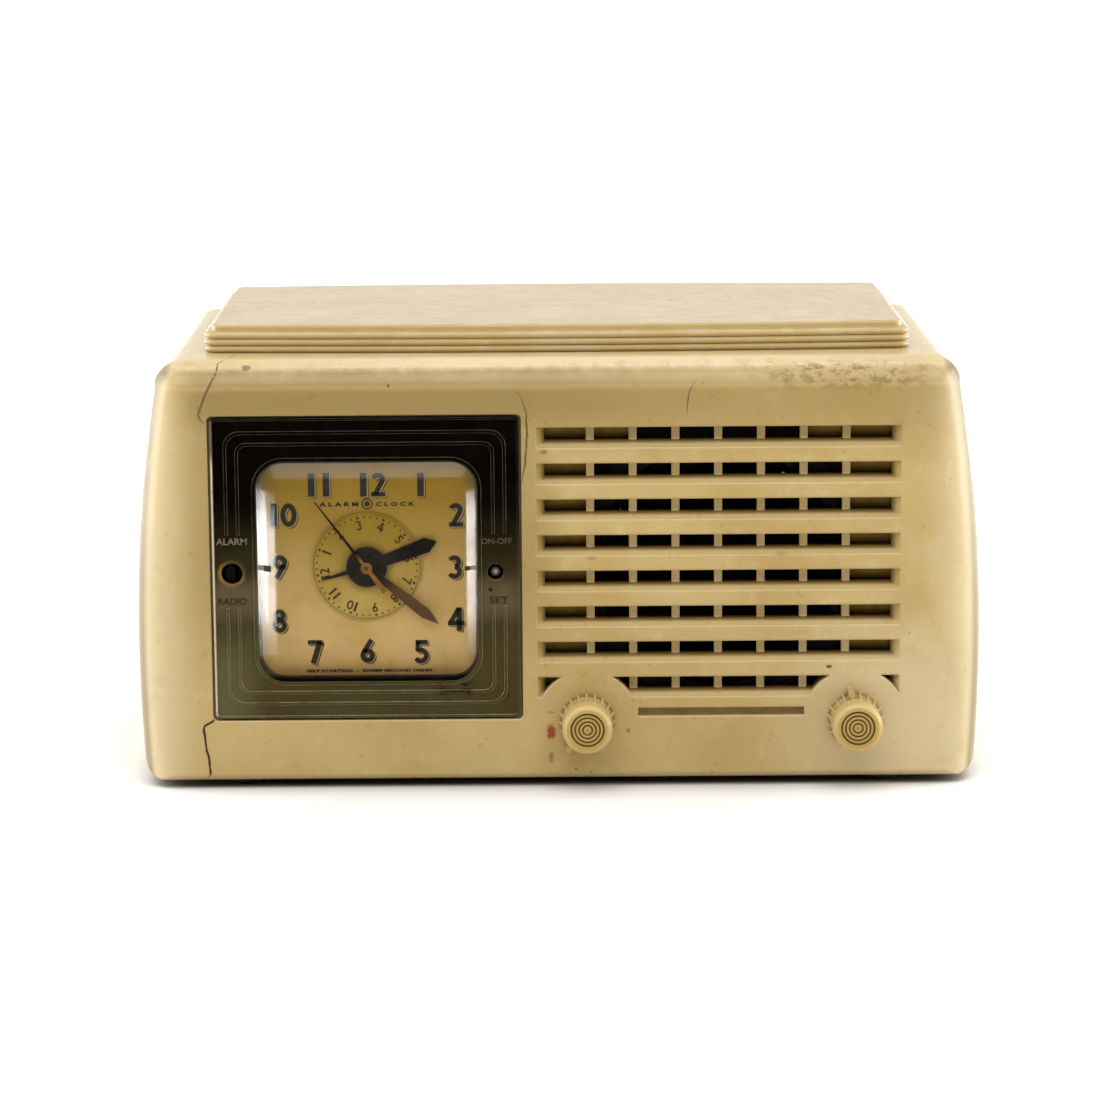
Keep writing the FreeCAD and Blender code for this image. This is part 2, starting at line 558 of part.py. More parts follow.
def cannon_pinion():
    """Minute pipe with the cannon pinion and the setting wheel."""
    tube = pipe(AXIS_X, AXIS_Z, 2.4, 17.2, MINUTE_PIPE, SECOND_ARBOR + RUNNING)
    cannon = gear(AXIS_X, AXIS_Z, 11.9, 14.0, MOTION_MODULE, CANNON_TEETH, MINUTE_PIPE - 0.2, DOWN)
    wheel = gear(AXIS_X, AXIS_Z, 15.2, 16.2, SET_MODULE, SET_TEETH, MINUTE_PIPE - 0.2,
                 IDLER_BEARING)
    return tube.multiFuse([cannon, wheel])


def motion_wheel():
    wheel = gear(MOTION_X, MOTION_Z, 12.3, 13.3, MOTION_MODULE, MOTION_TEETH, 0.3,
                 mesh_phase(DOWN, CANNON_TEETH, MOTION_TEETH, DOWN))
    leaves = gear(MOTION_X, MOTION_Z, 8.8, 12.4, HOUR_MODULE, LEAF_TEETH, 0.3,
                  mesh_phase(DOWN, HOUR_TEETH, LEAF_TEETH, DOWN))
    arbor = rod(MOTION_X, MOTION_Z, 8.6, PLATE_BACK, 0.8)
    return wheel.multiFuse([leaves, arbor])


IDLER_PHASE = mesh_phase(IDLER_BEARING, SET_TEETH, IDLER_TEETH, IDLER_BEARING)


def set_idler():
    wheel = gear(IDLER_X, IDLER_Z, 15.2, 16.2, SET_MODULE, IDLER_TEETH, 0.5, IDLER_PHASE)
    arbor = rod(IDLER_X, IDLER_Z, 14.6, PLATE_BACK, 1.0)
    return wheel.fuse(arbor)


def set_shaft():
    onward = math.atan2(SET_Z - IDLER_Z, SET_X - IDLER_X)
    wheel = gear(SET_X, SET_Z, 15.1, 16.3, SET_MODULE, SET_TEETH, 0.5,
                 mesh_phase(IDLER_PHASE, IDLER_TEETH, SET_TEETH, onward))
    shaft = rod(SET_X, SET_Z, 1.6, 22.0, 1.8)
    collar = rod(SET_X, SET_Z, 13.0, 15.2, 3.0)
    return shaft.multiFuse([wheel, collar])


def second_hand():
    d0, d1 = 1.5, 1.8
    hub = rod(AXIS_X, AXIS_Z, d0 - 0.4, d1 + 0.2, 2.1)
    hand = blade(AXIS_X, AXIS_Z, d0, d1, SECOND_DEG,
                 [(-11.4, 1.1), (-6.0, 0.9), (0, 0.62), (12.0, 0.5), (31.5, 0.22)])
    return hub.fuse(hand).cut(rod(AXIS_X, AXIS_Z, -2.0, 9.0, SECOND_ARBOR + 0.02))


def seconds_wheel():
    arbor = rod(AXIS_X, AXIS_Z, 0.9, REAR_PLATE_BACK, SECOND_ARBOR)
    wheel = gear(AXIS_X, AXIS_Z, 26.0, 27.0, SECONDS_MODULE, SECONDS_TEETH, 0.3, MOTOR_BEARING)
    boss = rod(AXIS_X, AXIS_Z, 24.5, 28.5, 2.2)
    return arbor.multiFuse([wheel, boss])


def motor_pinion():
    leaves = gear(MOTOR_X, MOTOR_Z, 25.0, 28.0, SECONDS_MODULE, MOTOR_TEETH, 0.3,
                  mesh_phase(MOTOR_BEARING, SECONDS_TEETH, MOTOR_TEETH, MOTOR_BEARING))
    return leaves.fuse(rod(MOTOR_X, MOTOR_Z, 24.6, 37.5, 1.0))


def alarm_disc():
    """Alarm-time disc on a pipe with the friction collar behind the dial."""
    disc = rod(AXIS_X, AXIS_Z, 5.0, 5.5, 20.4)
    tube = rod(AXIS_X, AXIS_Z, 5.0, 8.2, ALARM_PIPE)
    collar = rod(AXIS_X, AXIS_Z, 7.5, 8.2, 6.0)
    bore = rod(AXIS_X, AXIS_Z, 0.0, 12.0, HOUR_PIPE + RUNNING)
    return disc.multiFuse([tube, collar]).cut(bore)


def selector_shaft():
    """Selector shaft with a flat at its broken front end and a cam at the switch."""
    shaft = rod(SELECTOR_X, SELECTOR_Z, 1.4, 31.0, 2.4)
    flat = box(SELECTOR_X + 0.9, SELECTOR_X + 4.0, 0.0, 10.0, SELECTOR_Z - 4.0, SELECTOR_Z + 4.0)
    cam = extruded([(SELECTOR_X - 2.0, SELECTOR_Z - 2.2), (SELECTOR_X + 6.0, SELECTOR_Z - 3.5),
                    (SELECTOR_X + 7.5, SELECTOR_Z), (SELECTOR_X + 6.0, SELECTOR_Z + 3.5),
                    (SELECTOR_X - 2.0, SELECTOR_Z + 2.2)], 24.0, 26.0)
    return shaft.cut(flat).fuse(cam)


def movement_front_plate():
    body = plate(AXIS_X - 53.0, AXIS_X + 52.0, PLATE_FRONT, PLATE_BACK, AXIS_Z - 47.0,
                 AXIS_Z + 47.0, 6.0)
    holes = [
        rod(AXIS_X, AXIS_Z, 10.0, 30.0, SECOND_ARBOR + RUNNING),
        rod(MOTION_X, MOTION_Z, 10.0, 30.0, 0.8 + RUNNING),
        rod(IDLER_X, IDLER_Z, 10.0, 30.0, 1.0 + RUNNING),
        rod(SET_X, SET_Z, 10.0, 30.0, 1.8 + RUNNING),
        rod(SELECTOR_X, SELECTOR_Z, 10.0, 30.0, 2.4 + RUNNING),
    ]
    return body.cut(fuse_all(holes))


def movement_back_plate():
    body = plate(AXIS_X - 38.0, AXIS_X + 38.0, REAR_PLATE_FRONT, REAR_PLATE_BACK, AXIS_Z - 38.0,
                 AXIS_Z + 38.0, 5.0)
    holes = [
        rod(AXIS_X, AXIS_Z, 30.0, 40.0, SECOND_ARBOR + RUNNING),
        rod(MOTOR_X, MOTOR_Z, 30.0, 40.0, 4.6),
    ]
    return body.cut(fuse_all(holes))


def movement_pillars():
    pillars = []
    for sx in (-1.0, 1.0):
        for sz in (-1.0, 1.0):
            x, z = AXIS_X + sx * 48.0, AXIS_Z + sz * 42.0
            pillars.append(rod(x, z, BEZEL_BACK, PLATE_FRONT, 2.5))
            x, z = AXIS_X + sx * 33.0, AXIS_Z + sz * 33.0
            pillars.append(rod(x, z, PLATE_BACK, REAR_PLATE_FRONT, 2.5))
    return pillars


def motor_laminations():
    """Stack of stampings round the rotor, with a leg that carries the coil."""
    stack = plate(MOTOR_X - 24.0, MOTOR_X + 24.0, 37.0, 46.0, MOTOR_Z - 33.0, MOTOR_Z + 19.0, 2.0)
    window = box(MOTOR_X - 16.0, MOTOR_X + 16.0, 30.0, 50.0, MOTOR_Z - 25.0, MOTOR_Z - 17.5)
    throat = box(MOTOR_X - 3.0, MOTOR_X + 3.0, 30.0, 50.0, MOTOR_Z - 20.0, MOTOR_Z)
    return stack.cut(fuse_all([window, throat, rod(MOTOR_X, MOTOR_Z, 30.0, 50.0, 13.2)]))


def motor_coil():
    outer = plate(MOTOR_X - 14.0, MOTOR_X + 14.0, 33.0 + 2.6, 51.0, MOTOR_Z - 40.0, MOTOR_Z - 18.2, 4.0)
    return outer.cut(box(MOTOR_X - 20.0, MOTOR_X + 20.0, 36.8, 46.2, MOTOR_Z - 33.3, MOTOR_Z - 24.8))


def motor_rotor_case():
    """Sealed rotor and reduction gear in a drawn can."""
    return turned_on_depth(MOTOR_X, MOTOR_Z, [
        (1.1, 38.0), (11.0, 38.0), (13.0, 39.0), (13.0, 46.5), (11.0, 52.0), (5.0, 53.5),
        (0.0, 53.5), (0.0, 40.0), (1.1, 40.0)])


def alarm_switch():
    """Leaf switch beside the selector cam."""
    x0 = SELECTOR_X + 11.0
    stack = box(x0, x0 + 9.0, 21.0, 31.0, SELECTOR_Z + 6.0, SELECTOR_Z + 20.0)
    leaves = [box(x0 + k, x0 + k + 0.4, 23.0, 28.0, SELECTOR_Z - 9.0, SELECTOR_Z + 7.0)
              for k in (0.8, 3.6)]
    stand = box(x0, x0 + 9.0, PLATE_BACK, 21.5, SELECTOR_Z + 8.0, SELECTOR_Z + 18.0)
    return stack.multiFuse(leaves + [stand])


# ---------------------------------------------------------------- knobs and control shafts
def knob(kind):
    x, z = KNOB_CENTRES[kind]
    profile = [(0, -0.8), (9.4, -0.8), (9.4, -2.0), (7.9, -4.5), (7.9, -6.4), (8.6, -7.2), (9.35, -8.2),
               (9.35, -14.2), (8.9, -15.5), (7.9, -16.3), (6.9, -KNOB_PROUD), (6.45, -KNOB_PROUD),
               (6.3, -15.9), (0, -15.9)]
    body = turned_on_depth(x, z, profile)
    grooves = [turned_on_depth(x, z, [(r - 0.28, -17.0), (r + 0.28, -17.0), (r + 0.16, -15.35),
                                      (r - 0.16, -15.35)]) for r in (1.75, 3.15, 4.6, 6.0)]
    ribs = []
    for count in range(20):
        rib = Part.Face(Part.makePolygon([
            at(x - 0.35, -0.8, z + 7.0), at(x - 0.35, -0.8, z + 10.7), at(x - 0.35, -2.0, z + 10.5),
            at(x - 0.35, -7.5, z + 8.9), at(x - 0.35, -8.4, z + 7.0), at(x - 0.35, -0.8, z + 7.0)]))
        rib = rib.extrude(FreeCAD.Vector(0.7, 0, 0))
        ribs.append(turned_clockwise(rib, x, z, 18.0 * count))
    pointer = extruded([(x - 1.6, z + 7.0), (x + 1.6, z + 7.0), (x + 1.2, z + 10.4),
                        (x + 0.5, z + 13.2), (x - 1.3, z + 13.2), (x - 1.3, z + 10.4)], -5.4, -0.8)
    body = body.multiFuse(ribs + [pointer]).cut(fuse_all(grooves))
    socket = rod(x, z, -12.0, 0.0, CONTROL_SHAFT_RADIUS + 0.02)
    return turned_clockwise(body.cut(socket), x, z, KNOB_POINTER_DEG[kind])


def volume_shaft():
    x, z = KNOB_CENTRES["volume"]
    return rod(x, z, -11.5, 74.0, CONTROL_SHAFT_RADIUS)


def volume_control():
    """Potentiometer with a threaded bushing through the chassis front."""
    x, z = KNOB_CENTRES["volume"]
    can = rod(x, z, PAN_FRONT + PAN_SHEET + 0.05, 78.0, 9.2)
    bushing = rod(x, z, PAN_FRONT - 6.0, PAN_FRONT + 3.0, 4.6)
    lugs = [box(x - 5.0 + 4.0 * k, x - 3.0 + 4.0 * k, 69.0, 69.8, z - 13.5, z - 8.0) for k in range(3)]
    bore = rod(x, z, PAN_FRONT - 10.0, 74.5, CONTROL_SHAFT_RADIUS + RUNNING)
    return can.multiFuse([bushing] + lugs).cut(bore)


def volume_nut():
    x, z = KNOB_CENTRES["volume"]
    nut = extruded([clockwise(x, z, 7.4, 60 * k) for k in range(6)], PAN_FRONT - 2.8, PAN_FRONT - 0.05)
    return nut.cut(rod(x, z, PAN_FRONT - 5.0, PAN_FRONT + 1.0, 4.63))


# ---------------------------------------------------------------- tuning capacitor
GANG_FRONT, GANG_BACK = 64.0, 106.0
VANE_RADIUS = 13.6
VANE_THICKNESS = 0.6
VANE_PITCH = 2.4
VANES_PER_SECTION = 6
SECTION_STARTS = (67.5, 87.0)


def half_disc(x, z, d0, d1, outer, inner, upper):
    ring = pipe(x, z, d0, d1, outer, inner)
    low, high = (z + 0.6, z + outer + 1.0) if upper else (z - outer - 1.0, z + 0.4)
    return ring.common(box(x - outer - 1.0, x + outer + 1.0, d0 - 1.0, d1 + 1.0, low, high))


def gang_rotor():
    """Vanes of the two sections on one sleeve, a little short of half meshed at rest."""
    x, z = KNOB_CENTRES["tuning"]
    sleeve = rod(x, z, 66.0, 103.5, 4.3)
    vanes = []
    for start in SECTION_STARTS:
        for count in range(VANES_PER_SECTION):
            depth = start + VANE_PITCH / 2.0 + count * VANE_PITCH
            vane = half_disc(x, z, depth, depth + VANE_THICKNESS, VANE_RADIUS, 2.0, False)
            vanes.append(vane)
    body = sleeve.multiFuse(vanes).cut(rod(x, z, 60.0, 110.0, CONTROL_SHAFT_RADIUS + 0.02))
    return turned_clockwise(body, x, z, 98.0)


def gang_stator():
    x, z = KNOB_CENTRES["tuning"]
    sections = []
    for start in SECTION_STARTS:
        length = VANES_PER_SECTION * VANE_PITCH + VANE_THICKNESS
        parts = []
        for count in range(VANES_PER_SECTION + 1):
            depth = start + count * VANE_PITCH
            parts.append(half_disc(x, z, depth, depth + VANE_THICKNESS, 16.2, 5.4, True))
        for degrees in (-55.0, 0.0, 55.0):
            bar_x, bar_z = clockwise(x, z, 14.9, degrees)
            parts.append(rod(bar_x, bar_z, start, start + length, 0.8))
        sections.append(fuse_all(parts))
    return sections


def gang_frame():
    x, z = KNOB_CENTRES["tuning"]
    ends = [plate(x - 18.0, x + 18.0, d, d + 1.6, 10.6, 43.5, 2.0) for d in (GANG_FRONT, GANG_BACK - 1.6)]
    floor = box(x - 18.0, x + 18.0, GANG_FRONT, GANG_BACK, PAN_LOW + 1.25, 10.8)
    rails = [rod(x - 13.6, 41.0, GANG_FRONT, GANG_BACK, 0.9), rod(x + 13.6, 41.0, GANG_FRONT, GANG_BACK, 0.9)]
    divider = box(x - 17.0, x + 17.0, 84.4, 85.2, 10.6, 43.0)
    frame = fuse_all(ends + [floor, divider] + rails)
    window = rod(x, z, 84.0, 86.0, 5.2)
    return frame.cut(window).cut(rod(x, z, 60.0, 110.0, CONTROL_SHAFT_RADIUS + RUNNING))


def tuning_shaft():
    x, z = KNOB_CENTRES["tuning"]
    return rod(x, z, -11.5, 107.0, CONTROL_SHAFT_RADIUS)


# ---------------------------------------------------------------- speaker
def baffle_board():
    board = plate(GRILLE_LEFT - 4.0, GRILLE_RIGHT + 4.0, BAFFLE_FRONT, BAFFLE_BACK, 31.0, 141.0, 2.0)
    left, right = SPEAKER_X - 45.5, SPEAKER_X + 45.5
    low, high, clip = 33.0, 128.5, 14.0
    opening = extruded([(left + clip, low), (right - clip, low), (right, low + clip), (right, high - clip),
                        (right - clip, high), (left + clip, high), (left, high - clip),
                        (left, low + clip)], 0.0, 20.0)
    holes = [rod(x, z, 0.0, 20.0, SCREW_RADIUS + 0.05) for x, z in BAFFLE_SCREWS]
    return board.cut(fuse_all([opening] + holes))


def speaker_basket():
    basket = turned_on_depth(SPEAKER_X, SPEAKER_Z, [
        (45.6, 11.2), (50.5, 11.2), (50.5, 12.4), (47.0, 12.4), (47.0, 15.8), (25.8, 35.2),
        (21.0, 36.2), (14.2, 36.2), (14.2, 35.0), (20.4, 35.0), (24.8, 34.0), (45.6, 15.2)])
    flange = plate(SPEAKER_X - 46.0, SPEAKER_X + 46.0, 11.2, 12.2, SPEAKER_Z - 46.0, SPEAKER_Z + 46.0, 8.0)
    flange = flange.cut(rod(SPEAKER_X, SPEAKER_Z, 0.0, 20.0, 46.2))
    windows = []
    for quarter in range(4):
        wedge = extruded([(SPEAKER_X - 6.0, SPEAKER_Z + 20.0), (SPEAKER_X + 6.0, SPEAKER_Z + 20.0),
                          (SPEAKER_X + 22.0, SPEAKER_Z + 60.0), (SPEAKER_X - 22.0, SPEAKER_Z + 60.0)],
                         16.0, 32.5)
        windows.append(turned_clockwise(wedge, SPEAKER_X, SPEAKER_Z, 45.0 + 90.0 * quarter))
    return basket.fuse(flange).cut(fuse_all(windows))


def speaker_surround():
    return turned_on_depth(SPEAKER_X, SPEAKER_Z, [
        (42.2, 13.5), (43.1, 12.6), (44.0, 12.6), (44.6, 13.4), (45.5, 13.4), (45.5, 14.1),
        (44.2, 14.1), (43.5, 13.3), (42.4, 14.1)])


def speaker_cone():
    """Paper cone, dust cap and voice-coil former, moving as one."""
    cone = turned_on_depth(SPEAKER_X, SPEAKER_Z, [
        (41.8, 13.4), (41.8, 14.2), (30.0, 21.0), (20.0, 27.6), (13.0, 31.8), (12.9, 44.5),
        (12.4, 44.5), (12.4, 30.8), (19.5, 26.5), (29.6, 19.8)])
    cap = turned_on_depth(SPEAKER_X, SPEAKER_Z, [
        (0.0, 26.2), (6.0, 26.9), (10.5, 28.6), (13.2, 31.0), (12.6, 31.4), (10.2, 29.3), (6.0, 27.6),
        (0.0, 26.9)])
    return cone.fuse(cap)


def speaker_magnet():
    return turned_on_depth(SPEAKER_X, SPEAKER_Z, [
        (0.0, 38.6), (11.9, 38.6), (11.9, 54.0), (15.5, 54.0), (15.5, 41.0), (13.6, 41.0), (13.6, 36.4),
        (21.0, 36.4), (21.0, 57.0), (19.5, 58.5), (0.0, 58.5)])


def output_transformer():
    x, d, z = -52.0, 78.0, PAN_HIGH
    core = box(x - 19.0, x + 19.0, d, d + 16.0, z, z + 32.0)
    coil = plate(x - 11.0, x + 11.0, d - 6.0, d + 22.0, z + 6.0, z + 26.0, 3.0)
    return core.fuse(coil)


# ---------------------------------------------------------------- chassis
IF_CANS = [(-92.0, 96.0), (-12.0, 96.0)]
FILTER_CAN = (36.0, 94.0)


def chassis_pan():
    shell = box(PAN_LEFT, PAN_RIGHT, PAN_FRONT, PAN_BACK, PAN_LOW, PAN_HIGH)
    inside = box(PAN_LEFT + PAN_SHEET, PAN_RIGHT - PAN_SHEET, PAN_FRONT + PAN_SHEET,
                 PAN_BACK - PAN_SHEET, PAN_LOW - 1.0, PAN_HIGH - PAN_SHEET)
    shelf = box(PAN_RIGHT - 1.0, 136.0, 60.0, 112.0, PAN_LOW, PAN_LOW + PAN_SHEET)
    tabs = [box(x - 9.0, x + 9.0, d - 9.0, d + 9.0, PAN_LOW, PAN_LOW + PAN_SHEET)
            for x, d in CHASSIS_SCREWS[:3]]
    limits = box(PAN_LEFT, PAN_RIGHT, PAN_FRONT, PAN_BACK, PAN_LOW, PAN_HIGH)
    tabs = [tab.common(limits) for tab in tabs]
    shell = shell.cut(inside).multiFuse([shelf] + tabs)
    x, z = KNOB_CENTRES["volume"]
    holes = [rod(x, z, PAN_FRONT - 5.0, PAN_FRONT + 5.0, 4.65)]
    holes += [post(tube_x, TUBE_D, PAN_HIGH - 5.0, PAN_HIGH + 5.0, 7.9) for tube_x in TUBE_X]
    holes += [post(x, d, PAN_LOW - 3.0, PAN_LOW + 3.0, SCREW_RADIUS + 0.05) for x, d in CHASSIS_SCREWS]
    return shell.cut(fuse_all(holes))


def pin_places(x):
    """Seven tube pins on nine tenths of a circle's eight places."""
    return [(x + 4.76 * math.cos(math.radians(45.0 * k)), TUBE_D + 4.76 * math.sin(math.radians(45.0 * k)))
            for k in range(7)]


def tube_socket(x):
    flange = post(x, TUBE_D, PAN_HIGH + 0.05, PAN_HIGH + 1.6, 10.6)
    body = post(x, TUBE_D, PAN_HIGH - 7.0, PAN_HIGH + 1.0, 7.6)
    holes = [post(px, pd, PAN_HIGH - 9.0, PAN_HIGH + 4.0, 0.65) for px, pd in pin_places(x)]
    return flange.fuse(body).cut(fuse_all(holes))


def tube(x, height):
    """Miniature glass tube: hollow envelope drawn to a tip, with stiff wire pins."""
    base = PAN_HIGH + 1.8
    top = base + height
    outer = [(0, base), (9.2, base), (9.6, base + 1.5), (9.6, top - 7.0), (8.6, top - 3.5), (5.5, top - 1.0),
             (2.0, top), (1.0, top + 3.0), (0, top + 3.4)]
    inner = [(0, base + 3.0), (8.6, base + 3.0), (8.6, top - 7.4), (7.6, top - 4.4), (4.8, top - 2.1),
             (0, top - 1.6)]
    glass = turned_upright(x, TUBE_D, outer).cut(turned_upright(x, TUBE_D, inner))
    pins = [post(px, pd, base - 7.6, base + 1.0, 0.5) for px, pd in pin_places(x)]
    return glass.multiFuse(pins)


def if_transformer_can(x, d):
    can = upright_block(x - 10.0, x + 10.0, d - 10.0, d + 10.0, PAN_HIGH, PAN_HIGH + 48.0, 2.5)
    slots = [post(x, d + side * 5.0, PAN_HIGH + 46.0, PAN_HIGH + 50.0, 2.2) for side in (-1, 1)]
    return can.cut(fuse_all(slots))


def filter_capacitor():
    x, d = FILTER_CAN
    return turned_upright(x, d, [(0, PAN_HIGH), (12.7, PAN_HIGH), (12.7, PAN_HIGH + 3.0), (12.2, PAN_HIGH + 4.0),
                                 (12.2, PAN_HIGH + 58.0), (11.0, PAN_HIGH + 60.0), (0, PAN_HIGH + 60.0)])


def terminal_strips():
    strips = []
    for x in (-100.0, -40.0, 30.0):
        board = box(x - 16.0, x + 16.0, 100.0, 101.6, PAN_HIGH - 16.0, PAN_HIGH - 7.0)
        foot_bracket = box(x - 3.0, x + 3.0, 100.0, 106.0, PAN_HIGH - 16.0 + 8.0, PAN_HIGH - PAN_SHEET)
        lugs = [box(x + 6.0 * k - 0.8, x + 6.0 * k + 0.8, 97.0, 104.0, PAN_HIGH - 15.0, PAN_HIGH - 14.2)
                for k in (-2, -1, 1, 2)]
        strips.append(board.multiFuse([foot_bracket] + lugs))
    return strips


def resistors():
    parts = []
    for x in (-118.0, -104.0, -90.0, -58.0, -44.0, -30.0, 12.0, 26.0, 40.0, 54.0):
        body = rod(x, 17.0, 83.0, 93.0, 2.2)
        leads = rod(x, 17.0, 79.0, 97.0, 0.4)
        parts.append(body.fuse(leads))
    return parts


def paper_capacitors():
    parts = []
    for x in (-122.0, -92.0, -52.0, -12.0, 28.0, 66.0):
        body = rod(x, 16.0, 110.0, 136.0, 4.6) if x not in (66.0,) else rod(x, 16.0, 84.0, 116.0, 5.6)
        parts.append(body)
    return parts


# ---------------------------------------------------------------- back
def back_cover():
    cover = outline_block(WALL + 0.6, COVER_FRONT, COVER_BACK)
    holes = [rod(x, z, 150.0, 170.0, SCREW_RADIUS + 0.2) for x, z in COVER_SCREWS]
    for row in range(5):
        for column in range(15):
            x = -112.0 + 16.0 * column
            z = 56.0 + 18.0 * row
            holes.append(rod(x, z, 150.0, 170.0, 3.0))
    holes.append(rod(GROMMET_X, GROMMET_Z, 150.0, 170.0, GROMMET_NECK + 0.05))
    return cover.cut(fuse_all(holes))


GROMMET_X, GROMMET_Z = -96.0, 24.0
GROMMET_NECK = 5.0


def cord_grommet():
    """Rubber grommet for the mains lead."""
    return turned_on_depth(GROMMET_X, GROMMET_Z, [
        (2.9, 156.4), (6.2, 156.4), (7.2, 157.2), (7.2, COVER_FRONT - 0.05), (GROMMET_NECK, COVER_FRONT - 0.05),
        (GROMMET_NECK, COVER_BACK + 0.05), (7.2, COVER_BACK + 0.05), (7.0, COVER_BACK + 1.6),
        (5.8, COVER_BACK + 2.3), (2.9, COVER_BACK + 2.3)])


def loop_antenna():
    """Flat loop wound on a card, spaced off the back cover by four pads."""
    outer = plate(-118.0, 118.0, 154.0, 156.0, 48.0, 142.0, 14.0)
    inner = plate(-100.0, 100.0, 150.0, 160.0, 66.0, 124.0, 8.0)
    pads = [rod(x, z, 155.5, COVER_FRONT - 0.02, 4.0) for x in (-104.0, 104.0) for z in (54.0, 135.5)]
    return outer.cut(inner).multiFuse(pads)


# ---------------------------------------------------------------- write the parts
def main():
    os.makedirs("parts", exist_ok=True)
    save("cabinet", cabinet())
    save("feet", *[foot(x, d) for x, d in FEET])
    save("clock_bezel", clock_bezel())
    save("bezel_nuts", *[bezel_nut(x, z) for x, z in BEZEL_STUDS])
    save("clock_crystal", clock_crystal())
    save("crystal_gasket", crystal_gasket())
    save("clock_dial", clock_dial())
    save("alarm_disc", alarm_disc())
    save("hour_hand", hour_hand())
    save("hour_wheel", hour_wheel())
    save("minute_hand", minute_hand())
    save("cannon_pinion", cannon_pinion())
    save("motion_wheel", motion_wheel())
    save("set_idler", set_idler())
    save("set_shaft", set_shaft())
    save("selector_shaft", selector_shaft())
    save("second_hand", second_hand())
    save("seconds_wheel", seconds_wheel())
    save("motor_pinion", motor_pinion())
    save("movement_front_plate", movement_front_plate())
    save("movement_back_plate", movement_back_plate())
    save("movement_pillars", *movement_pillars())
    save("motor_laminations", motor_laminations())
    save("motor_coil", motor_coil())
    save("motor_rotor_case", motor_rotor_case())
    save("alarm_switch", alarm_switch())
    save("volume_knob", knob("volume"))
    save("tuning_knob", knob("tuning"))
    save("volume_shaft", volume_shaft())
    save("volume_control", volume_control())
    save("volume_nut", volume_nut())
    save("tuning_shaft", tuning_shaft())
    save("gang_rotor", gang_rotor())
    save("gang_stator", *gang_stator())
    save("gang_frame", gang_frame())
    save("baffle_board", baffle_board())
    save("baffle_screws", *[screw_along_depth(x, z, BAFFLE_BACK + 0.02, 5.0) for x, z in BAFFLE_SCREWS])
    save("speaker_basket", speaker_basket())
    save("speaker_surround", speaker_surround())
    save("speaker_cone", speaker_cone())
    save("speaker_magnet", speaker_magnet())
    save("output_transformer", output_transformer())
    save("chassis_pan", chassis_pan())
    save("chassis_screws", *[chassis_screw(x, d) for x, d in CHASSIS_SCREWS])
    save("tube_sockets", *[tube_socket(x) for x in TUBE_X])
    for name, x, height in zip(TUBE_NAMES, TUBE_X, (47.0, 47.0, 41.0, 54.0, 54.0)):
        save(name, tube(x, height))
    save("if_transformer_cans", *[if_transformer_can(x, d) for x, d in IF_CANS])
    save("filter_capacitor", filter_capacitor())
    save("terminal_strips", *terminal_strips())
    save("resistors", *resistors())
    save("paper_capacitors", *paper_capacitors())
    save("back_cover", back_cover())
    save("back_cover_screws", *[screw_along_depth(x, z, COVER_BACK + 0.02, 147.0) for x, z in COVER_SCREWS])
    save("cord_grommet", cord_grommet())
    save("loop_antenna", loop_antenna())
    print("written", len(os.listdir("parts")), "parts")


main()
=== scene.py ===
"""Looks of an ivory table clock radio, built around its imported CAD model."""

import math
import random

import bpy
from mathutils import Matrix, Vector
from mathutils.bvhtree import BVHTree


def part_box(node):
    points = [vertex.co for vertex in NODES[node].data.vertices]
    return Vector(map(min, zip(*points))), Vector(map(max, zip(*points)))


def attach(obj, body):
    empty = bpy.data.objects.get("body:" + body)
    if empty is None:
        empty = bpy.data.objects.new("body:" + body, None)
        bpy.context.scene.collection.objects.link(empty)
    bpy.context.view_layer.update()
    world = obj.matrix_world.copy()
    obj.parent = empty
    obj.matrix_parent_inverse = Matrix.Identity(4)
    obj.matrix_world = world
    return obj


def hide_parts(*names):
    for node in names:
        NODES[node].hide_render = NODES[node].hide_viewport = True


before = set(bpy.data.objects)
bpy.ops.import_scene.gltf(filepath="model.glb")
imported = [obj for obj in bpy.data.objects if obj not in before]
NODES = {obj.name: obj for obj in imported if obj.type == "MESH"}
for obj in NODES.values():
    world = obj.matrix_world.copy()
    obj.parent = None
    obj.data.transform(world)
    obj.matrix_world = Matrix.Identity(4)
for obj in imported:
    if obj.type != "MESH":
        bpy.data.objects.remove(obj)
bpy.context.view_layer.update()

MM = 0.001
KNOB_PROUD = 16.5 * MM
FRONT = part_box("volume_knob")[0].y + KNOB_PROUD


def middle(node):
    low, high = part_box(node)
    return (low + high) / 2


CLOCK = middle("alarm_disc")
SELECTOR = Vector((-121.2, 0.0, 81.9)) * MM
CRYSTAL_X, CRYSTAL_Z = -70.9, 82.3
CRYSTAL_HALF_X, CRYSTAL_HALF_Z, CRYSTAL_CORNER = 40.8, 41.3, 10.0
KNOBS = {"volume": middle("volume_shaft"), "tuning": Vector((110.3, 0.0, 25.2)) * MM}


def at(x, depth, z):
    """Point at x and z millimetres, `depth` millimetres behind the cabinet's front face."""
    return Vector((x * MM, FRONT + depth * MM, z * MM))


# ---------------------------------------------------------------- materials
def rgba(r, g, b):
    return (r, g, b, 1.0)


def shade(colour, share):
    """Darker version of a colour."""
    return tuple(c * share for c in colour)


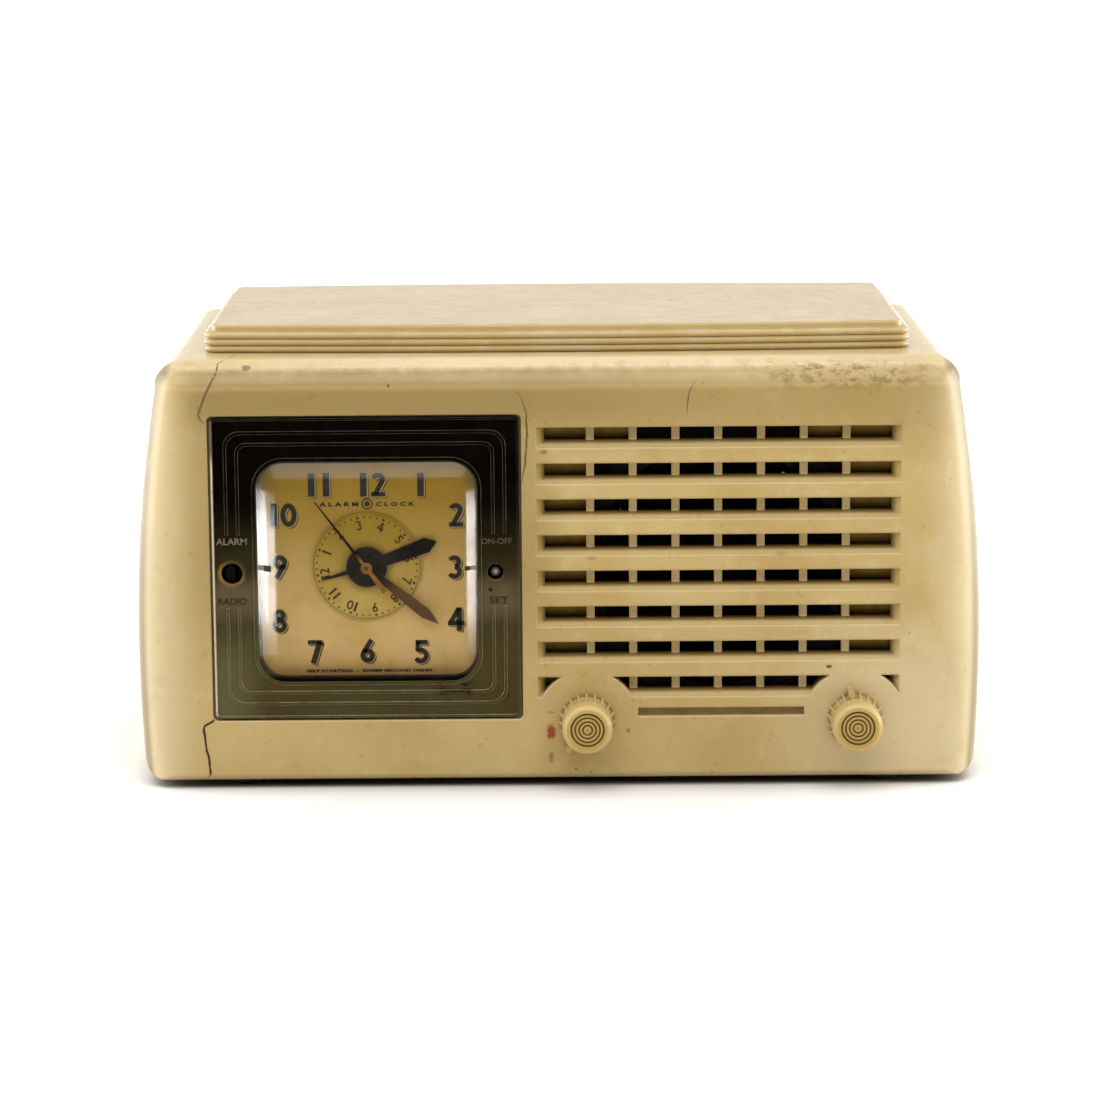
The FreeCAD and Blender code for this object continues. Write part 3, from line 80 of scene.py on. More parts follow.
class Look:
    """One procedural material under construction. Lengths are in millimetres."""

    def __init__(self, name, owner=None):
        self.material = owner or bpy.data.materials.new(name)  # or a world
        self.material.use_nodes = True
        self.tree = self.material.node_tree
        self.tree.nodes.clear()
        self.place = self.node("ShaderNodeTexCoord").outputs["Object"]
        self.x, self.y, self.z = self.node("ShaderNodeSeparateXYZ", Vector=self.place).outputs
        self.colour = None

    def node(self, kind, settings=None, **inputs):
        made = self.tree.nodes.new(kind)
        for key, value in (settings or {}).items():
            setattr(made, key, value)
        for key, value in inputs.items():
            self.plug(made.inputs[key], value)
        return made

    def plug(self, socket, value):
        if isinstance(value, bpy.types.NodeSocket):
            self.tree.links.new(value, socket)
        else:
            socket.default_value = value

    def math(self, operation, *values, clamp=False):
        made = self.tree.nodes.new("ShaderNodeMath")
        made.operation = operation
        made.use_clamp = clamp
        for socket, value in zip(made.inputs, values):
            self.plug(socket, value)
        return made.outputs[0]

    def noise(self, size, detail=4.0, rough=0.55, stretch=(1, 1, 1), turn=(0, 0, 0), warp=0.0, seed=0.0):
        """Noise from 0 to 1 with features about `size` across."""
        vector = self.node("ShaderNodeMapping", Vector=self.place, Scale=stretch, Rotation=turn,
                           Location=(seed, seed * 0.7, seed * 1.3)).outputs[0]
        made = self.node("ShaderNodeTexNoise", Vector=vector, Scale=1.0 / (size * MM), Detail=detail,
                         Roughness=rough, Distortion=warp)
        return made.outputs[0]

    def cells(self, size, seed=0.0):
        """Distance to scattered points about `size` apart, as a share of it."""
        vector = self.node("ShaderNodeMapping", Vector=self.place,
                           Location=(seed, seed * 0.6, seed * 1.7)).outputs[0]
        made = self.node("ShaderNodeTexVoronoi", {"feature": "F1"}, Vector=vector, Scale=1.0 / (size * MM))
        return made.outputs["Distance"]

    def mask(self, value, start, end, low=0.0, high=1.0):
        """`low` where value is below start, `high` above end, smooth between; start may exceed end."""
        if start > end:
            start, end, low, high = end, start, high, low
        made = self.tree.nodes.new("ShaderNodeMapRange")
        made.interpolation_type = "SMOOTHSTEP"
        for socket, item in zip(made.inputs, (value, start, end, low, high)):
            self.plug(socket, item)
        return made.outputs[0]

    def behind(self, start, end):
        """Mask over the millimetres behind the cabinet's front face."""
        return self.mask(self.y, FRONT + start * MM, FRONT + end * MM)

    def band(self, value, start, end, soft):
        """1 between start and end, with soft borders inside them."""
        return self.both(self.mask(value, start, start + soft), self.mask(value, end, end - soft))

    def both(self, *masks):
        found = masks[0]
        for other in masks[1:]:
            found = self.math("MULTIPLY", found, other)
        return found

    def either(self, *masks):
        found = masks[0]
        for other in masks[1:]:
            found = self.math("MAXIMUM", found, other)
        return found

    def mix(self, share, a, b):
        """Colour that goes from a to b with share; both are (r, g, b) or sockets."""
        made = self.node("ShaderNodeMix", {"data_type": "RGBA"})
        for index, value in ((0, share), (6, a), (7, b)):
            self.plug(made.inputs[index], rgba(*value) if isinstance(value, tuple) else value)
        return made.outputs[2]

    def paint(self, tint, *masks):
        """Lays a tint over the colour so far, as strongly as the masks multiply to."""
        self.colour = self.mix(self.both(*masks), self.colour, tint)

    def blend(self, share, a, b):
        """Number that goes from a to b with share."""
        made = self.node("ShaderNodeMix", {"data_type": "FLOAT"})
        for index, value in ((0, share), (2, a), (3, b)):
            self.plug(made.inputs[index], value)
        return made.outputs[0]

    def radius(self, centre, flat=1.0):
        """Distance from an axis along the depth, in metres."""
        dx = self.math("SUBTRACT", self.x, centre.x)
        dz = self.math("MULTIPLY", self.math("SUBTRACT", self.z, centre.z), flat)
        return self.math("SQRT", self.math("ADD", self.math("MULTIPLY", dx, dx),
                                           self.math("MULTIPLY", dz, dz)))

    def along(self, centre, bearing):
        """Metres from a centre towards a clock bearing, seen from the front."""
        a = math.radians(bearing)
        dx = self.math("MULTIPLY", self.math("SUBTRACT", self.x, centre.x), math.sin(a))
        dz = self.math("MULTIPLY", self.math("SUBTRACT", self.z, centre.z), math.cos(a))
        return self.math("ADD", dx, dz)

    def facing(self, axis, normal=None):
        """How far the surface faces along an axis: 0 is x, 2 is z."""
        normal = normal or self.node("ShaderNodeNewGeometry").outputs["Normal"]
        return self.node("ShaderNodeSeparateXYZ", Vector=normal).outputs[axis]

    def upward(self, start, end):
        """0 on upright walls, 1 on faces that look up."""
        return self.mask(self.facing(2), start, end)

    def rounded(self, radius):
        """Normal that rolls over the edges as if they were rounded."""
        return self.node("ShaderNodeBevel", {"samples": 4}, Radius=radius * MM).outputs[0]

    def recess(self, reach):
        """1 deep in corners and slots narrower than `reach`, 0 in the open."""
        made = self.node("ShaderNodeAmbientOcclusion", {"samples": 6}, Distance=reach * MM)
        return self.math("SUBTRACT", 1.0, made.outputs["AO"])

    def edges(self, radius):
        """1 along sharp outer and inner edges within `radius`, 0 on flats."""
        normal = self.node("ShaderNodeNewGeometry").outputs["Normal"]
        dot = self.node("ShaderNodeVectorMath", {"operation": "DOT_PRODUCT"})
        self.plug(dot.inputs[0], self.rounded(radius))
        self.plug(dot.inputs[1], normal)
        return self.mask(dot.outputs["Value"], 0.995, 0.86)

    def bump(self, height, strength, depth, normal=None):
        made = self.node("ShaderNodeBump", Height=height, Strength=strength, Distance=depth * MM)
        if normal is not None:
            self.plug(made.inputs["Normal"], normal)
        return made.outputs[0]

    def finish(self, colour, roughness, normal=None, metallic=0.0, **plain):
        shader = self.node("ShaderNodeBsdfPrincipled")
        self.plug(shader.inputs["Base Color"], colour)
        self.plug(shader.inputs["Roughness"], roughness)
        self.plug(shader.inputs["Metallic"], metallic)
        if normal is not None:
            self.plug(shader.inputs["Normal"], normal)
            self.plug(shader.inputs["Coat Normal"], normal)
        for key, value in plain.items():
            shader.inputs[key.replace("_", " ")].default_value = value
        self.output(shader.outputs[0])
        return self.material

    def layered(self, share, under, over):
        """Shader that goes from `under` to `over` with share."""
        made = self.node("ShaderNodeMixShader")
        for socket, value in zip(made.inputs, (share, under.outputs[0], over.outputs[0])):
            self.plug(socket, value)
        return made

    def output(self, surface):
        self.node("ShaderNodeOutputMaterial", Surface=surface)
        return self.material


IVORY = (0.56, 0.40, 0.150)
IVORY_DEEP = (0.50, 0.335, 0.108)
IVORY_PALE = (0.66, 0.53, 0.29)
DUSTY_TOP = (0.425, 0.310, 0.115)
DUSTY_RIM = (0.71, 0.565, 0.330)
# Brown for soiling and for painted shade in the louvres.
GRIME_AND_SHADE = (0.15, 0.088, 0.012)
GLASS_IOR = 1.5
IVORY_GLOSS = {"IOR": 1.55, "Coat_Weight": 0.30, "Coat_Roughness": 0.13}
# Heights on the upper part of the cabinet, in metres.
REEDS_LOW, REEDS_HIGH = 0.1606, 0.1690
RIM_LOW, RIM_HIGH = 0.1609, 0.1616
LIP_LOW, LIP_HIGH = 0.1688, 0.1694
# Small brown marks on the front, in millimetres: (x, z, size, flatness, share).
MARKS = (
    (-114.6, 158.4, 2.4, 2.0, 0.85), (-62.1, 151.9, 0.8, 1.0, 0.9), (-3.2, 11.2, 1.1, 0.40, 0.5),
    (6.0, 6.7, 0.8, 1.0, 0.7), (11.5, 5.4, 0.7, 1.0, 0.6), (100.6, 45.2, 1.4, 1.6, 0.9),
    (-3.4, 28.4, 2.4, 4.0, 0.35), (82.4, 88.2, 3.0, 2.5, 0.35), (50.9, 91.6, 1.6, 1.6, 0.6),
    (-5.4, 126.8, 1.8, 1.8, 0.55), (12.4, 86.9, 2.4, 2.2, 0.3),
)


def ivory_base(look):
    """Aged, slightly mottled urea, shared by the cabinet and the knobs; gives its roughness."""
    broad = look.noise(46.0, 3.0)
    fine = look.noise(7.0, 5.0, 0.6)
    look.colour = look.mix(look.mask(broad, 0.35, 0.68), IVORY, IVORY_DEEP)
    look.paint(IVORY_PALE, look.mask(fine, 0.5, 0.78, 0.0, 0.4))
    return look.mask(fine, 0.3, 0.8, 0.27, 0.42)


def top_dust(look, upward, high):
    """Dust on all that faces up: thin on the reeds and at the ends of the shoulder."""
    reeds = look.band(look.z, REEDS_LOW, REEDS_HIGH, 0.0012)
    ends = look.either(look.mask(look.x, -0.05, -0.11), look.mask(look.x, 0.06, 0.12))
    shoulder = look.both(look.mask(look.z, RIM_HIGH, RIM_LOW), ends)
    dusty = look.both(look.blend(reeds, 0.85, 0.30), look.blend(shoulder, 1.0, 0.55))
    look.paint(look.mix(look.mask(look.z, RIM_LOW, RIM_HIGH), DUSTY_RIM, DUSTY_TOP), upward, high, dusty)


def front_tone(look):
    """Darker high up and at the left, from age and painted shade; paler at the lower right corner, on the
    flanks and at the front's side edges, as painted light.
    """
    uneven = look.math("MULTIPLY_ADD", look.noise(7.0, 4.0, 0.65, seed=9.0), 0.004, look.z)
    left = look.both(look.mask(look.x, 0.006, -0.012), 0.65)
    aged = look.both(look.either(look.mask(look.z, 0.118, 0.146), left), look.mask(uneven, 0.1612, 0.1580),
                     look.mask(look.z, 0.020, 0.090), look.blend(look.mask(look.x, -0.03, 0.09), 1.0, 0.6),
                     look.mask(look.x, -0.150, -0.128))
    # Painted shade, with age staining: the front darkened high up and at the left.
    look.paint((0.315, 0.208, 0.058), aged, 0.92)
    # Painted light: the flanks, the front's side edges and the lower right corner painted paler.
    aside = look.math("ABSOLUTE", look.x)
    turned = look.mask(look.math("ABSOLUTE", look.facing(0)), 0.35, 0.90)
    lit_flank = look.either(look.both(turned, look.mask(aside, 0.136, 0.142), 0.35),
                        look.both(look.mask(aside, 0.132, 0.154), look.behind(14.0, 4.0), 0.55))
    corner = look.both(look.mask(look.x, 0.060, 0.135), look.mask(look.z, 0.080, 0.030), 0.50)
    look.paint((0.84, 0.72, 0.47), look.either(lit_flank, corner))


def top_wear(look, on_top, high, upward):
    """Rubbed patches, scratches and grubby lines on the top panel; gives the patches and scratches."""
    patches = look.both(look.mask(look.noise(26.0, 6.0, 0.7, warp=0.2, seed=3.1), 0.40, 0.70),
                        look.blend(on_top, look.blend(high, 0.0, 0.3), 0.55))
    look.paint((0.66, 0.55, 0.37), patches)
    streak = look.noise(1.5, 3.0, 0.5, stretch=(0.05, 0.6, 1.0), turn=(0, 0, 0.5), warp=0.3)
    other = look.noise(1.5, 3.0, 0.5, stretch=(0.5, 0.05, 1.0), turn=(0, 0, -0.35), warp=0.4, seed=5.0)
    scratches = look.both(look.mask(streak, 0.66, 0.72), on_top)
    look.paint((0.74, 0.64, 0.44), scratches, 0.35)
    grubby = look.both(look.mask(other, 0.66, 0.72), on_top, look.mask(look.x, -0.02, 0.06, 0.35, 1.0))
    look.paint((0.34, 0.21, 0.06), grubby, 0.50)
    lip = look.both(look.mask(look.z, LIP_LOW, LIP_HIGH), look.mask(upward, 0.6, 0.3))
    look.paint((0.55, 0.355, 0.105), lip, 0.75)
    return patches, scratches


def stains(look, on_top):
    """Blotches all over, and a brown spill along the upper edge of the front, at the right."""
    blotch = look.mask(look.noise(15.0, 5.0, 0.65, seed=8.0), 0.56, 0.72)
    look.paint((0.46, 0.30, 0.10), blotch, look.blend(on_top, 0.20, 0.42))
    spill = look.both(look.band(look.x, 0.062, 0.150, 0.030), look.band(look.z, 0.1485, 0.1605, 0.0035),
                      look.mask(look.noise(4.0, 6.0, 0.75, stretch=(0.8, 1.0, 1.1), seed=2.0), 0.49, 0.58))
    look.paint((0.22, 0.125, 0.006), spill, 0.80)
    edge = look.both(look.band(look.z, 0.1480, 0.1625, 0.004),
                     look.mask(look.noise(7.0, 5.0, 0.7, seed=11.0), 0.52, 0.66))
    look.paint((0.42, 0.25, 0.06), edge, 0.34)


def rubbed_edges(look, on_top):
    """Painted highlight on upper edges and on sharp edges, most on top; painted shade on lower edges."""
    roll = look.facing(2, look.rounded(1.5))
    upright = look.upward(0.30, 0.10)
    sharp = look.both(look.edges(0.5), look.blend(on_top, 0.6, 1.0))
    over = look.either(look.both(look.mask(roll, 0.06, 0.34), upright), sharp)
    # Painted highlight: upper and sharp edges painted pale.
    look.paint((0.80, 0.65, 0.36), over, 0.62)
    # Painted shade: lower edges painted dark.
    look.paint((0.33, 0.25, 0.085), look.mask(roll, -0.05, -0.30), upright, 0.42)


def spots(look):
    """Dark specks, brown marks and two red smears beside the left knob."""
    specks = look.mask(look.cells(9.0, seed=4.0), 0.055, 0.030)
    look.paint((0.20, 0.11, 0.03), specks, 0.5)
    front = look.behind(6.0, 5.0)
    ragged = look.math("MULTIPLY", look.math("SUBTRACT", look.noise(2.0, 4.0, 0.65, seed=1.0), 0.5), 3.4 * MM)
    for x, z, size, flat, share in MARKS:
        reach = look.math("MULTIPLY_ADD", ragged, size * 0.22, look.radius(Vector((x, 0, z)) * MM, flat))
        mark = look.mask(reach, size * MM, size * 0.45 * MM)
        look.paint((0.130, 0.055, 0.003), mark, front, share)
    for x, z, size, flat, share in ((-3.0, 20.9, 2.2, 0.62, 0.95), (25.7, 21.1, 1.2, 0.8, 0.6)):
        reach = look.math("ADD", look.radius(Vector((x, 0, z)) * MM, flat), ragged)
        smear = look.mask(reach, size * MM, size * 0.45 * MM)
        look.paint((0.34, 0.045, 0.012), smear, front, share)


def grille_dirt(look):
    """Soiling and painted shade in enclosed corners, painted light and painted shade on the louvre slopes,
    painted shade at the louvre ends and at the back of the louvres, brown soiling and painted shade in the
    trim slot; gives the corner soiling-and-shade mask.
    """
    recess = look.recess(5.0)
    uneven = look.mask(look.noise(9.0, 4.0, seed=6.0), 0.2, 0.6, 0.6, 1.0)
    # Painted shade, with soiling: darker where corners and slots are enclosed.
    dirt_and_shade = look.both(look.mask(recess, 0.45, 0.95), uneven)
    look.paint(GRIME_AND_SHADE, dirt_and_shade, 0.6)
    # Painted light: the outer part of each upward louvre slope painted paler.
    slope = look.both(look.upward(0.2, 0.7), look.mask(look.z, 0.150, 0.145), look.behind(0.2, 0.6))
    look.paint((0.86, 0.68, 0.35), slope, look.behind(4.0, 2.2), 0.55)
    # Painted shade: the deep part of the slopes and the louvre ends painted dark.
    ends = look.both(look.mask(look.math("ABSOLUTE", look.facing(0)), 0.3, 0.6), 0.9)
    look.paint(GRIME_AND_SHADE, look.both(look.behind(2.0, 5.0), look.behind(9.6, 8.6), look.either(slope, ends)), 0.80)
    # Trim slot: brown soiling with painted shade.
    trim_soil_and_shade = look.both(look.band(look.x, 0.0288, 0.0919, 0.0006), look.band(look.z, 0.0264, 0.0304, 0.0006),
                     look.behind(0.2, 0.8))
    look.paint((0.235, 0.130, 0.006), trim_soil_and_shade, look.mask(look.noise(5.0, 4.0), 0.2, 0.7, 0.9, 0.6))
    # Painted shade inside the cabinet, where it is deeply enclosed.
    inside = look.both(look.behind(8.2, 9.5), look.mask(look.y, 0.088, 0.087),
                       look.mask(look.recess(60.0), 0.75, 0.95))
    look.paint((0.20, 0.14, 0.05), inside, 0.5)
    return dirt_and_shade


def ivory_cabinet():
    look = Look("ivory_urea")
    rough = ivory_base(look)
    on_top = look.mask(look.z, 0.1655, 0.1705)
    upward = look.upward(0.35, 0.95)
    high = look.mask(look.z, 0.1500, 0.1580)
    top_dust(look, upward, high)
    front_tone(look)
    patches, scratches = top_wear(look, on_top, high, upward)
    stains(look, on_top)
    rubbed_edges(look, on_top)
    spots(look)
    dirt_and_shade = grille_dirt(look)
    rough = look.math("ADD", rough, look.both(look.either(dirt_and_shade, patches), 0.22))
    normal = look.bump(look.noise(2.2, 3.0, 0.5), 0.08, 0.12, look.rounded(0.9))
    normal = look.bump(scratches, 0.25, -0.05, normal)
    normal = look.bump(look.noise(60.0, 2.0), 0.25, 1.2, normal)
    return look.finish(look.colour, rough, normal, **IVORY_GLOSS)


def ivory_knob(name, centre):
    look = Look(name)
    rough = ivory_base(look)
    look.paint((0.66, 0.475, 0.190), 0.50)
    radius = look.radius(centre)
    # Amber toning and painted shade low on the skirt, and amber toning on the ringed face.
    amber_and_shade = look.both(look.mask(look.z, centre.z + 0.004, centre.z - 0.010),
                      look.mask(look.noise(5.0, 4.0, seed=2.0), 0.3, 0.6, 0.4, 1.0))
    look.paint((0.52, 0.27, 0.045), amber_and_shade, 0.55)
    face = look.both(look.behind(-15.0, -15.3), look.mask(radius, 0.0067, 0.0065))
    halo = look.band(radius, 0.0058, 0.0078, 0.0006)
    look.paint((0.47, 0.30, 0.060), look.either(look.both(face, 0.80), look.both(halo, 0.70)))
    # Painted shade, with soiling: darker in the knob's recesses.
    dirt_and_shade = look.mask(look.recess(2.5), 0.30, 0.85)
    look.paint((0.30, 0.17, 0.03), dirt_and_shade, 0.45)
    rings = []
    for ring in (1.75, 3.15, 4.6, 6.0):
        away = look.math("ABSOLUTE", look.math("SUBTRACT", radius, ring * MM))
        rings.append(look.mask(away, 0.44 * MM, 0.24 * MM))
    in_groove = look.both(face, look.either(*rings))
    look.paint((0.190, 0.100, 0.008), in_groove, 0.90)
    pip = look.both(face, look.mask(radius, 0.60 * MM, 0.35 * MM))
    look.paint((0.20, 0.10, 0.02), pip, 0.6)
    # Painted highlight, with wear: the edge of the cap rim painted pale.
    worn = look.both(look.edges(0.5), look.mask(radius, 0.0064, 0.0068))
    look.paint((0.80, 0.64, 0.36), worn, 0.35)
    normal = look.bump(look.noise(1.6, 3.0), 0.10, 0.08, look.rounded(0.4))
    rough = look.math("ADD", rough, look.both(look.either(dirt_and_shade, in_groove), 0.4))
    return look.finish(look.colour, rough, normal, **IVORY_GLOSS)


def bezel_bronze():
    """Bronzed plate: near black above, olive below; ridges and edges painted pale as rubbed metal and painted
    highlight, more so below.
    """
    look = Look("bezel_bronze")
    low = look.mask(look.z, 0.112, 0.045)
    mottle = look.noise(9.0, 6.0, 0.65, warp=0.4)
    look.colour = look.mix(low, (0.0020, 0.0013, 0.0004), (0.066, 0.052, 0.015))
    look.paint((0.060, 0.036, 0.012), look.mask(mottle, 0.38, 0.68), look.blend(low, 0.03, 0.6))
    green = look.mask(look.noise(22.0, 4.0, seed=2.0), 0.48, 0.7)
    look.paint((0.052, 0.064, 0.030), green, low, 0.5)
    chips = look.both(look.mask(look.noise(2.6, 5.0, 0.7, seed=4.0), 0.62, 0.68), low)
    look.paint((0.008, 0.006, 0.003), chips, 0.7)
    scraped = look.both(look.band(look.x, -0.0480, -0.0290, 0.004), look.band(look.z, 0.0345, 0.0410, 0.002),
                        look.mask(look.noise(1.8, 4.0, 0.7, stretch=(0.35, 1.0, 1.0), seed=6.0), 0.50, 0.56))
    look.paint((0.006, 0.004, 0.002), scraped, 0.85)
    ring = look.both(look.mask(look.radius(SELECTOR), 0.0058, 0.0046),
                     look.mask(look.noise(3.0, 4.0), 0.30, 0.55, 0.55, 1.0),
                     look.mask(look.along(SELECTOR, 215.0), -0.004, 0.003, 0.2, 1.0))
    look.paint((0.26, 0.165, 0.010), ring, 0.85)
    side = look.both(look.band(look.z, 0.0610, 0.0830, 0.008), look.mask(mottle, 0.25, 0.6, 0.6, 1.0), 0.85)
    look.paint((0.115, 0.082, 0.042), side)
    # Painted highlight: the lower left of the plate painted paler.
    corner = look.both(look.mask(look.x, -0.106, -0.124), look.mask(look.z, 0.064, 0.044), 0.55)
    look.paint((0.150, 0.130, 0.062), corner)
    # Painted highlight, with rubbing: edges painted pale, most below and less at the right.
    worn = look.edges(0.30)
    rubbed = look.both(worn, look.mask(look.noise(5.0, 4.0, seed=9.0), 0.25, 0.6, 0.35, 1.0),
                       look.blend(low, 0.30, 1.0), look.mask(look.x, -0.0155, -0.0175, 0.35, 1.0))
    look.paint((0.62, 0.51, 0.32), rubbed, 0.9)
    # Painted shade, with soiling: darker in the plate's recesses.
    dirt_and_shade = look.mask(look.recess(1.2), 0.45, 0.85)
    look.paint((0.008, 0.005, 0.001), dirt_and_shade, 0.8)
    # Painted highlight along the left side of the plate, in a bare metal colour.
    bare = look.both(look.mask(look.x, -0.1274, -0.1278), look.mask(look.z, 0.128, 0.122, 0.25, 1.0),
                     look.mask(look.noise(4.0, 4.0, seed=12.0), 0.25, 0.5, 0.5, 1.0))
    look.paint((0.66, 0.56, 0.38), bare, 0.85)
    rough = look.math("ADD", look.mask(mottle, 0.3, 0.7, 0.30, 0.42), look.both(rubbed, -0.08))
    normal = look.bump(look.noise(1.1, 4.0, 0.6), 0.12, 0.10, look.rounded(0.35))
    return look.finish(look.colour, rough, normal, look.both(rubbed, 0.45), Specular_IOR_Level=0.05)


def metal(name, colour, dull, roughness=(0.28, 0.5), size=6.0, metallic=0.9, grain=None, worn=None):
    """Plated or bare metal: cloudy tarnish, fine grain, rubbed edges."""
    look = Look(name)
    cloud = look.noise(size, 5.0, 0.6)
    share = look.mask(cloud, 0.35, 0.68)
    tone = look.mix(share, colour, dull)
    rough = look.mask(cloud, 0.3, 0.7, *roughness)
    stretch = grain or (1, 1, 1)
    fine = look.noise(size * 0.12, 3.0, 0.6, stretch=stretch)
    tone = look.mix(look.mask(fine, 0.45, 0.75, 0.0, 0.22), tone, shade(colour, 0.55))
    if worn is not None:
        tone = look.mix(look.both(look.edges(0.25), 0.6), tone, worn)
    # Painted shade in recesses, in a dark tarnish tone.
    tone = look.mix(look.both(look.mask(look.recess(2.5), 0.4, 0.9), 0.5), tone, shade(dull, 0.25))
    return look.finish(tone, rough, look.bump(fine, 0.15, 0.05), metallic)


def matte(name, colour, other, roughness=(0.6, 0.85), size=8.0, fibre=0.5, grain=(1, 1, 1), lift=0.12,
          **plain):
    """Paper, card, board, rubber or moulded plastic: two tones, fibres and a fine tooth."""
    look = Look(name)
    cloud = look.noise(size, 5.0, 0.6)
    tone = look.mix(look.mask(cloud, 0.32, 0.7), colour, other)
    strand = look.noise(fibre, 4.0, 0.65, stretch=grain)
    tone = look.mix(look.mask(strand, 0.5, 0.72, 0.0, 0.35), tone, shade(other, 0.62))
    # Painted shade in recesses.
    tone = look.mix(look.both(look.mask(look.recess(3.0), 0.4, 0.9), 0.55), tone, shade(other, 0.3))
    rough = look.mask(cloud, 0.3, 0.7, *roughness)
    return look.finish(tone, rough, look.bump(strand, 0.35, lift), 0.0, **plain)


def aged_paint(name, heights, cloud_noise, tones, cloudy, foxing):
    """Yellowed paint with painted shade, darker above, with clouds and foxing. Gives the look and its cloud
    noise.

    `cloudy` is (tint, start, end), `foxing` is (tint, share, size, seed, start, end).
    """
    look = Look(name)
    cloud = look.noise(*cloud_noise)
    # Painted shade: darker towards the top.
    look.colour = look.mix(look.mask(look.z, *heights), *tones)
    tint, start, end = cloudy
    look.paint(tint, look.mask(cloud, start, end, 0.0, 0.35))
    tint, share, size, seed, start, end = foxing
    look.paint(tint, look.mask(look.noise(size, 5.0, 0.7, seed=seed), start, end), share)
    return look, cloud


def dial_paint():
    look, cloud = aged_paint("dial_paint", (0.117, 0.055), (16.0, 5.0, 0.6),
                             ((0.43, 0.262, 0.008), (0.92, 0.65, 0.27)), ((0.56, 0.35, 0.04), 0.42, 0.72),
                             ((0.36, 0.20, 0.05), 0.30, 3.5, 3.0, 0.60, 0.72))
    # Painted shade: darker towards the edges of the opening.
    away = look.math("MAXIMUM", look.math("ABSOLUTE", look.math("SUBTRACT", look.x, CRYSTAL_X * MM)),
                     look.math("ABSOLUTE", look.math("SUBTRACT", look.z, CRYSTAL_Z * MM)))
    look.paint((0.28, 0.17, 0.04), look.mask(away, 0.0345, 0.0405), 0.35)
    return look.finish(look.colour, look.mask(cloud, 0.3, 0.7, 0.45, 0.6),
                       look.bump(look.noise(0.8), 0.08, 0.05))


def alarm_paint():
    look, cloud = aged_paint("alarm_paint", (0.102, 0.066), (14.0, 4.0),
                             ((0.42, 0.275, 0.010), (0.74, 0.52, 0.145)), ((0.52, 0.36, 0.02), 0.4, 0.7),
                             ((0.34, 0.22, 0.03), 0.35, 2.6, 5.0, 0.56, 0.70))
    radius = look.radius(CLOCK)
    look.paint((0.24, 0.16, 0.03), look.band(radius, 0.0193, 0.0202, 0.0002), 0.6)
    look.paint((0.26, 0.17, 0.03), look.mask(radius, 0.0110, 0.0078), 0.5)
    return look.finish(look.colour, look.mask(cloud, 0.3, 0.7, 0.42, 0.55),
                       look.bump(look.noise(0.8), 0.08, 0.05))


def board_paint():
    """Board behind the louvres: black where sound passes, bare and brown behind the blind cells, with painted
    shadow under each slat.
    """
    look = Look("baffle_board")
    grain = look.noise(0.6, 4.0, 0.65)
    black = look.mix(look.mask(grain, 0.3, 0.7), (0.006, 0.005, 0.004), (0.003, 0.003, 0.003))
    bare = look.mix(look.mask(look.noise(6.0, 4.0), 0.3, 0.7), (0.26, 0.17, 0.035), (0.20, 0.12, 0.02))
    # Painted shadow: each slat's shadow darkens the bare board below it.
    slat_shadow_phase = look.math("FRACT", look.math("DIVIDE", look.math("SUBTRACT", 0.13596, look.z), 0.01345))
    bare = look.mix(look.mask(slat_shadow_phase, 0.05, 0.42), bare, (0.022, 0.012, 0.002))
    across = look.math("ABSOLUTE", look.math("SUBTRACT", look.x, 0.0594))
    height = look.math("ABSOLUTE", look.math("SUBTRACT", look.z, 0.0850))
    corner = look.both(look.mask(height, 0.0400, 0.0405), look.mask(across, 0.0317, 0.0322))
    blind = look.both(look.either(look.mask(across, 0.0473, 0.0478), corner),
                      look.behind(10.0, 9.0))
    return look.finish(look.mix(blind, black, bare), look.mask(grain, 0.3, 0.7, 0.75, 0.9),
                       look.bump(grain, 0.3, 0.1), Specular_IOR_Level=0.08)


def glass(name, tint, roughness):
    """Clear moulding: what is behind shows through, with a reflecting surface and a lower edge painted dark
    as shade and dark reflection.
    """
    look = Look(name)
    smear = look.noise(18.0, 4.0, 0.6)
    # Painted shade: the lower edge darkened in what shows through and in what it reflects.
    lower_edge_shade = look.mask(look.math("ADD", look.z, look.math("MULTIPLY", smear, 0.0006)), 0.0446, 0.0424)
    tone = look.mix(look.mask(smear, 0.3, 0.8), tint, shade(tint, 0.97))
    clear = look.node("ShaderNodeBsdfTransparent",
                      Color=look.mix(look.both(lower_edge_shade, 0.85), tone, (0.20, 0.115, 0.035)))
    mirror = look.node("ShaderNodeBsdfGlossy", Color=look.mix(lower_edge_shade, (1, 1, 1), (0.10, 0.085, 0.06)),
                       Roughness=look.mask(smear, 0.3, 0.8, roughness, roughness * 2.2),
                       Normal=look.bump(look.noise(30.0, 2.0), 0.1, 0.5))
    fresnel = look.node("ShaderNodeFresnel", IOR=GLASS_IOR).outputs[0]
    # Back faces don't reflect, or the inside of the crystal would turn black from above.
    inside = look.node("ShaderNodeNewGeometry").outputs["Backfacing"]
    share = look.math("MULTIPLY", fresnel, look.math("SUBTRACT", 1.0, inside))
    return look.output(look.layered(share, clear, mirror).outputs[0])


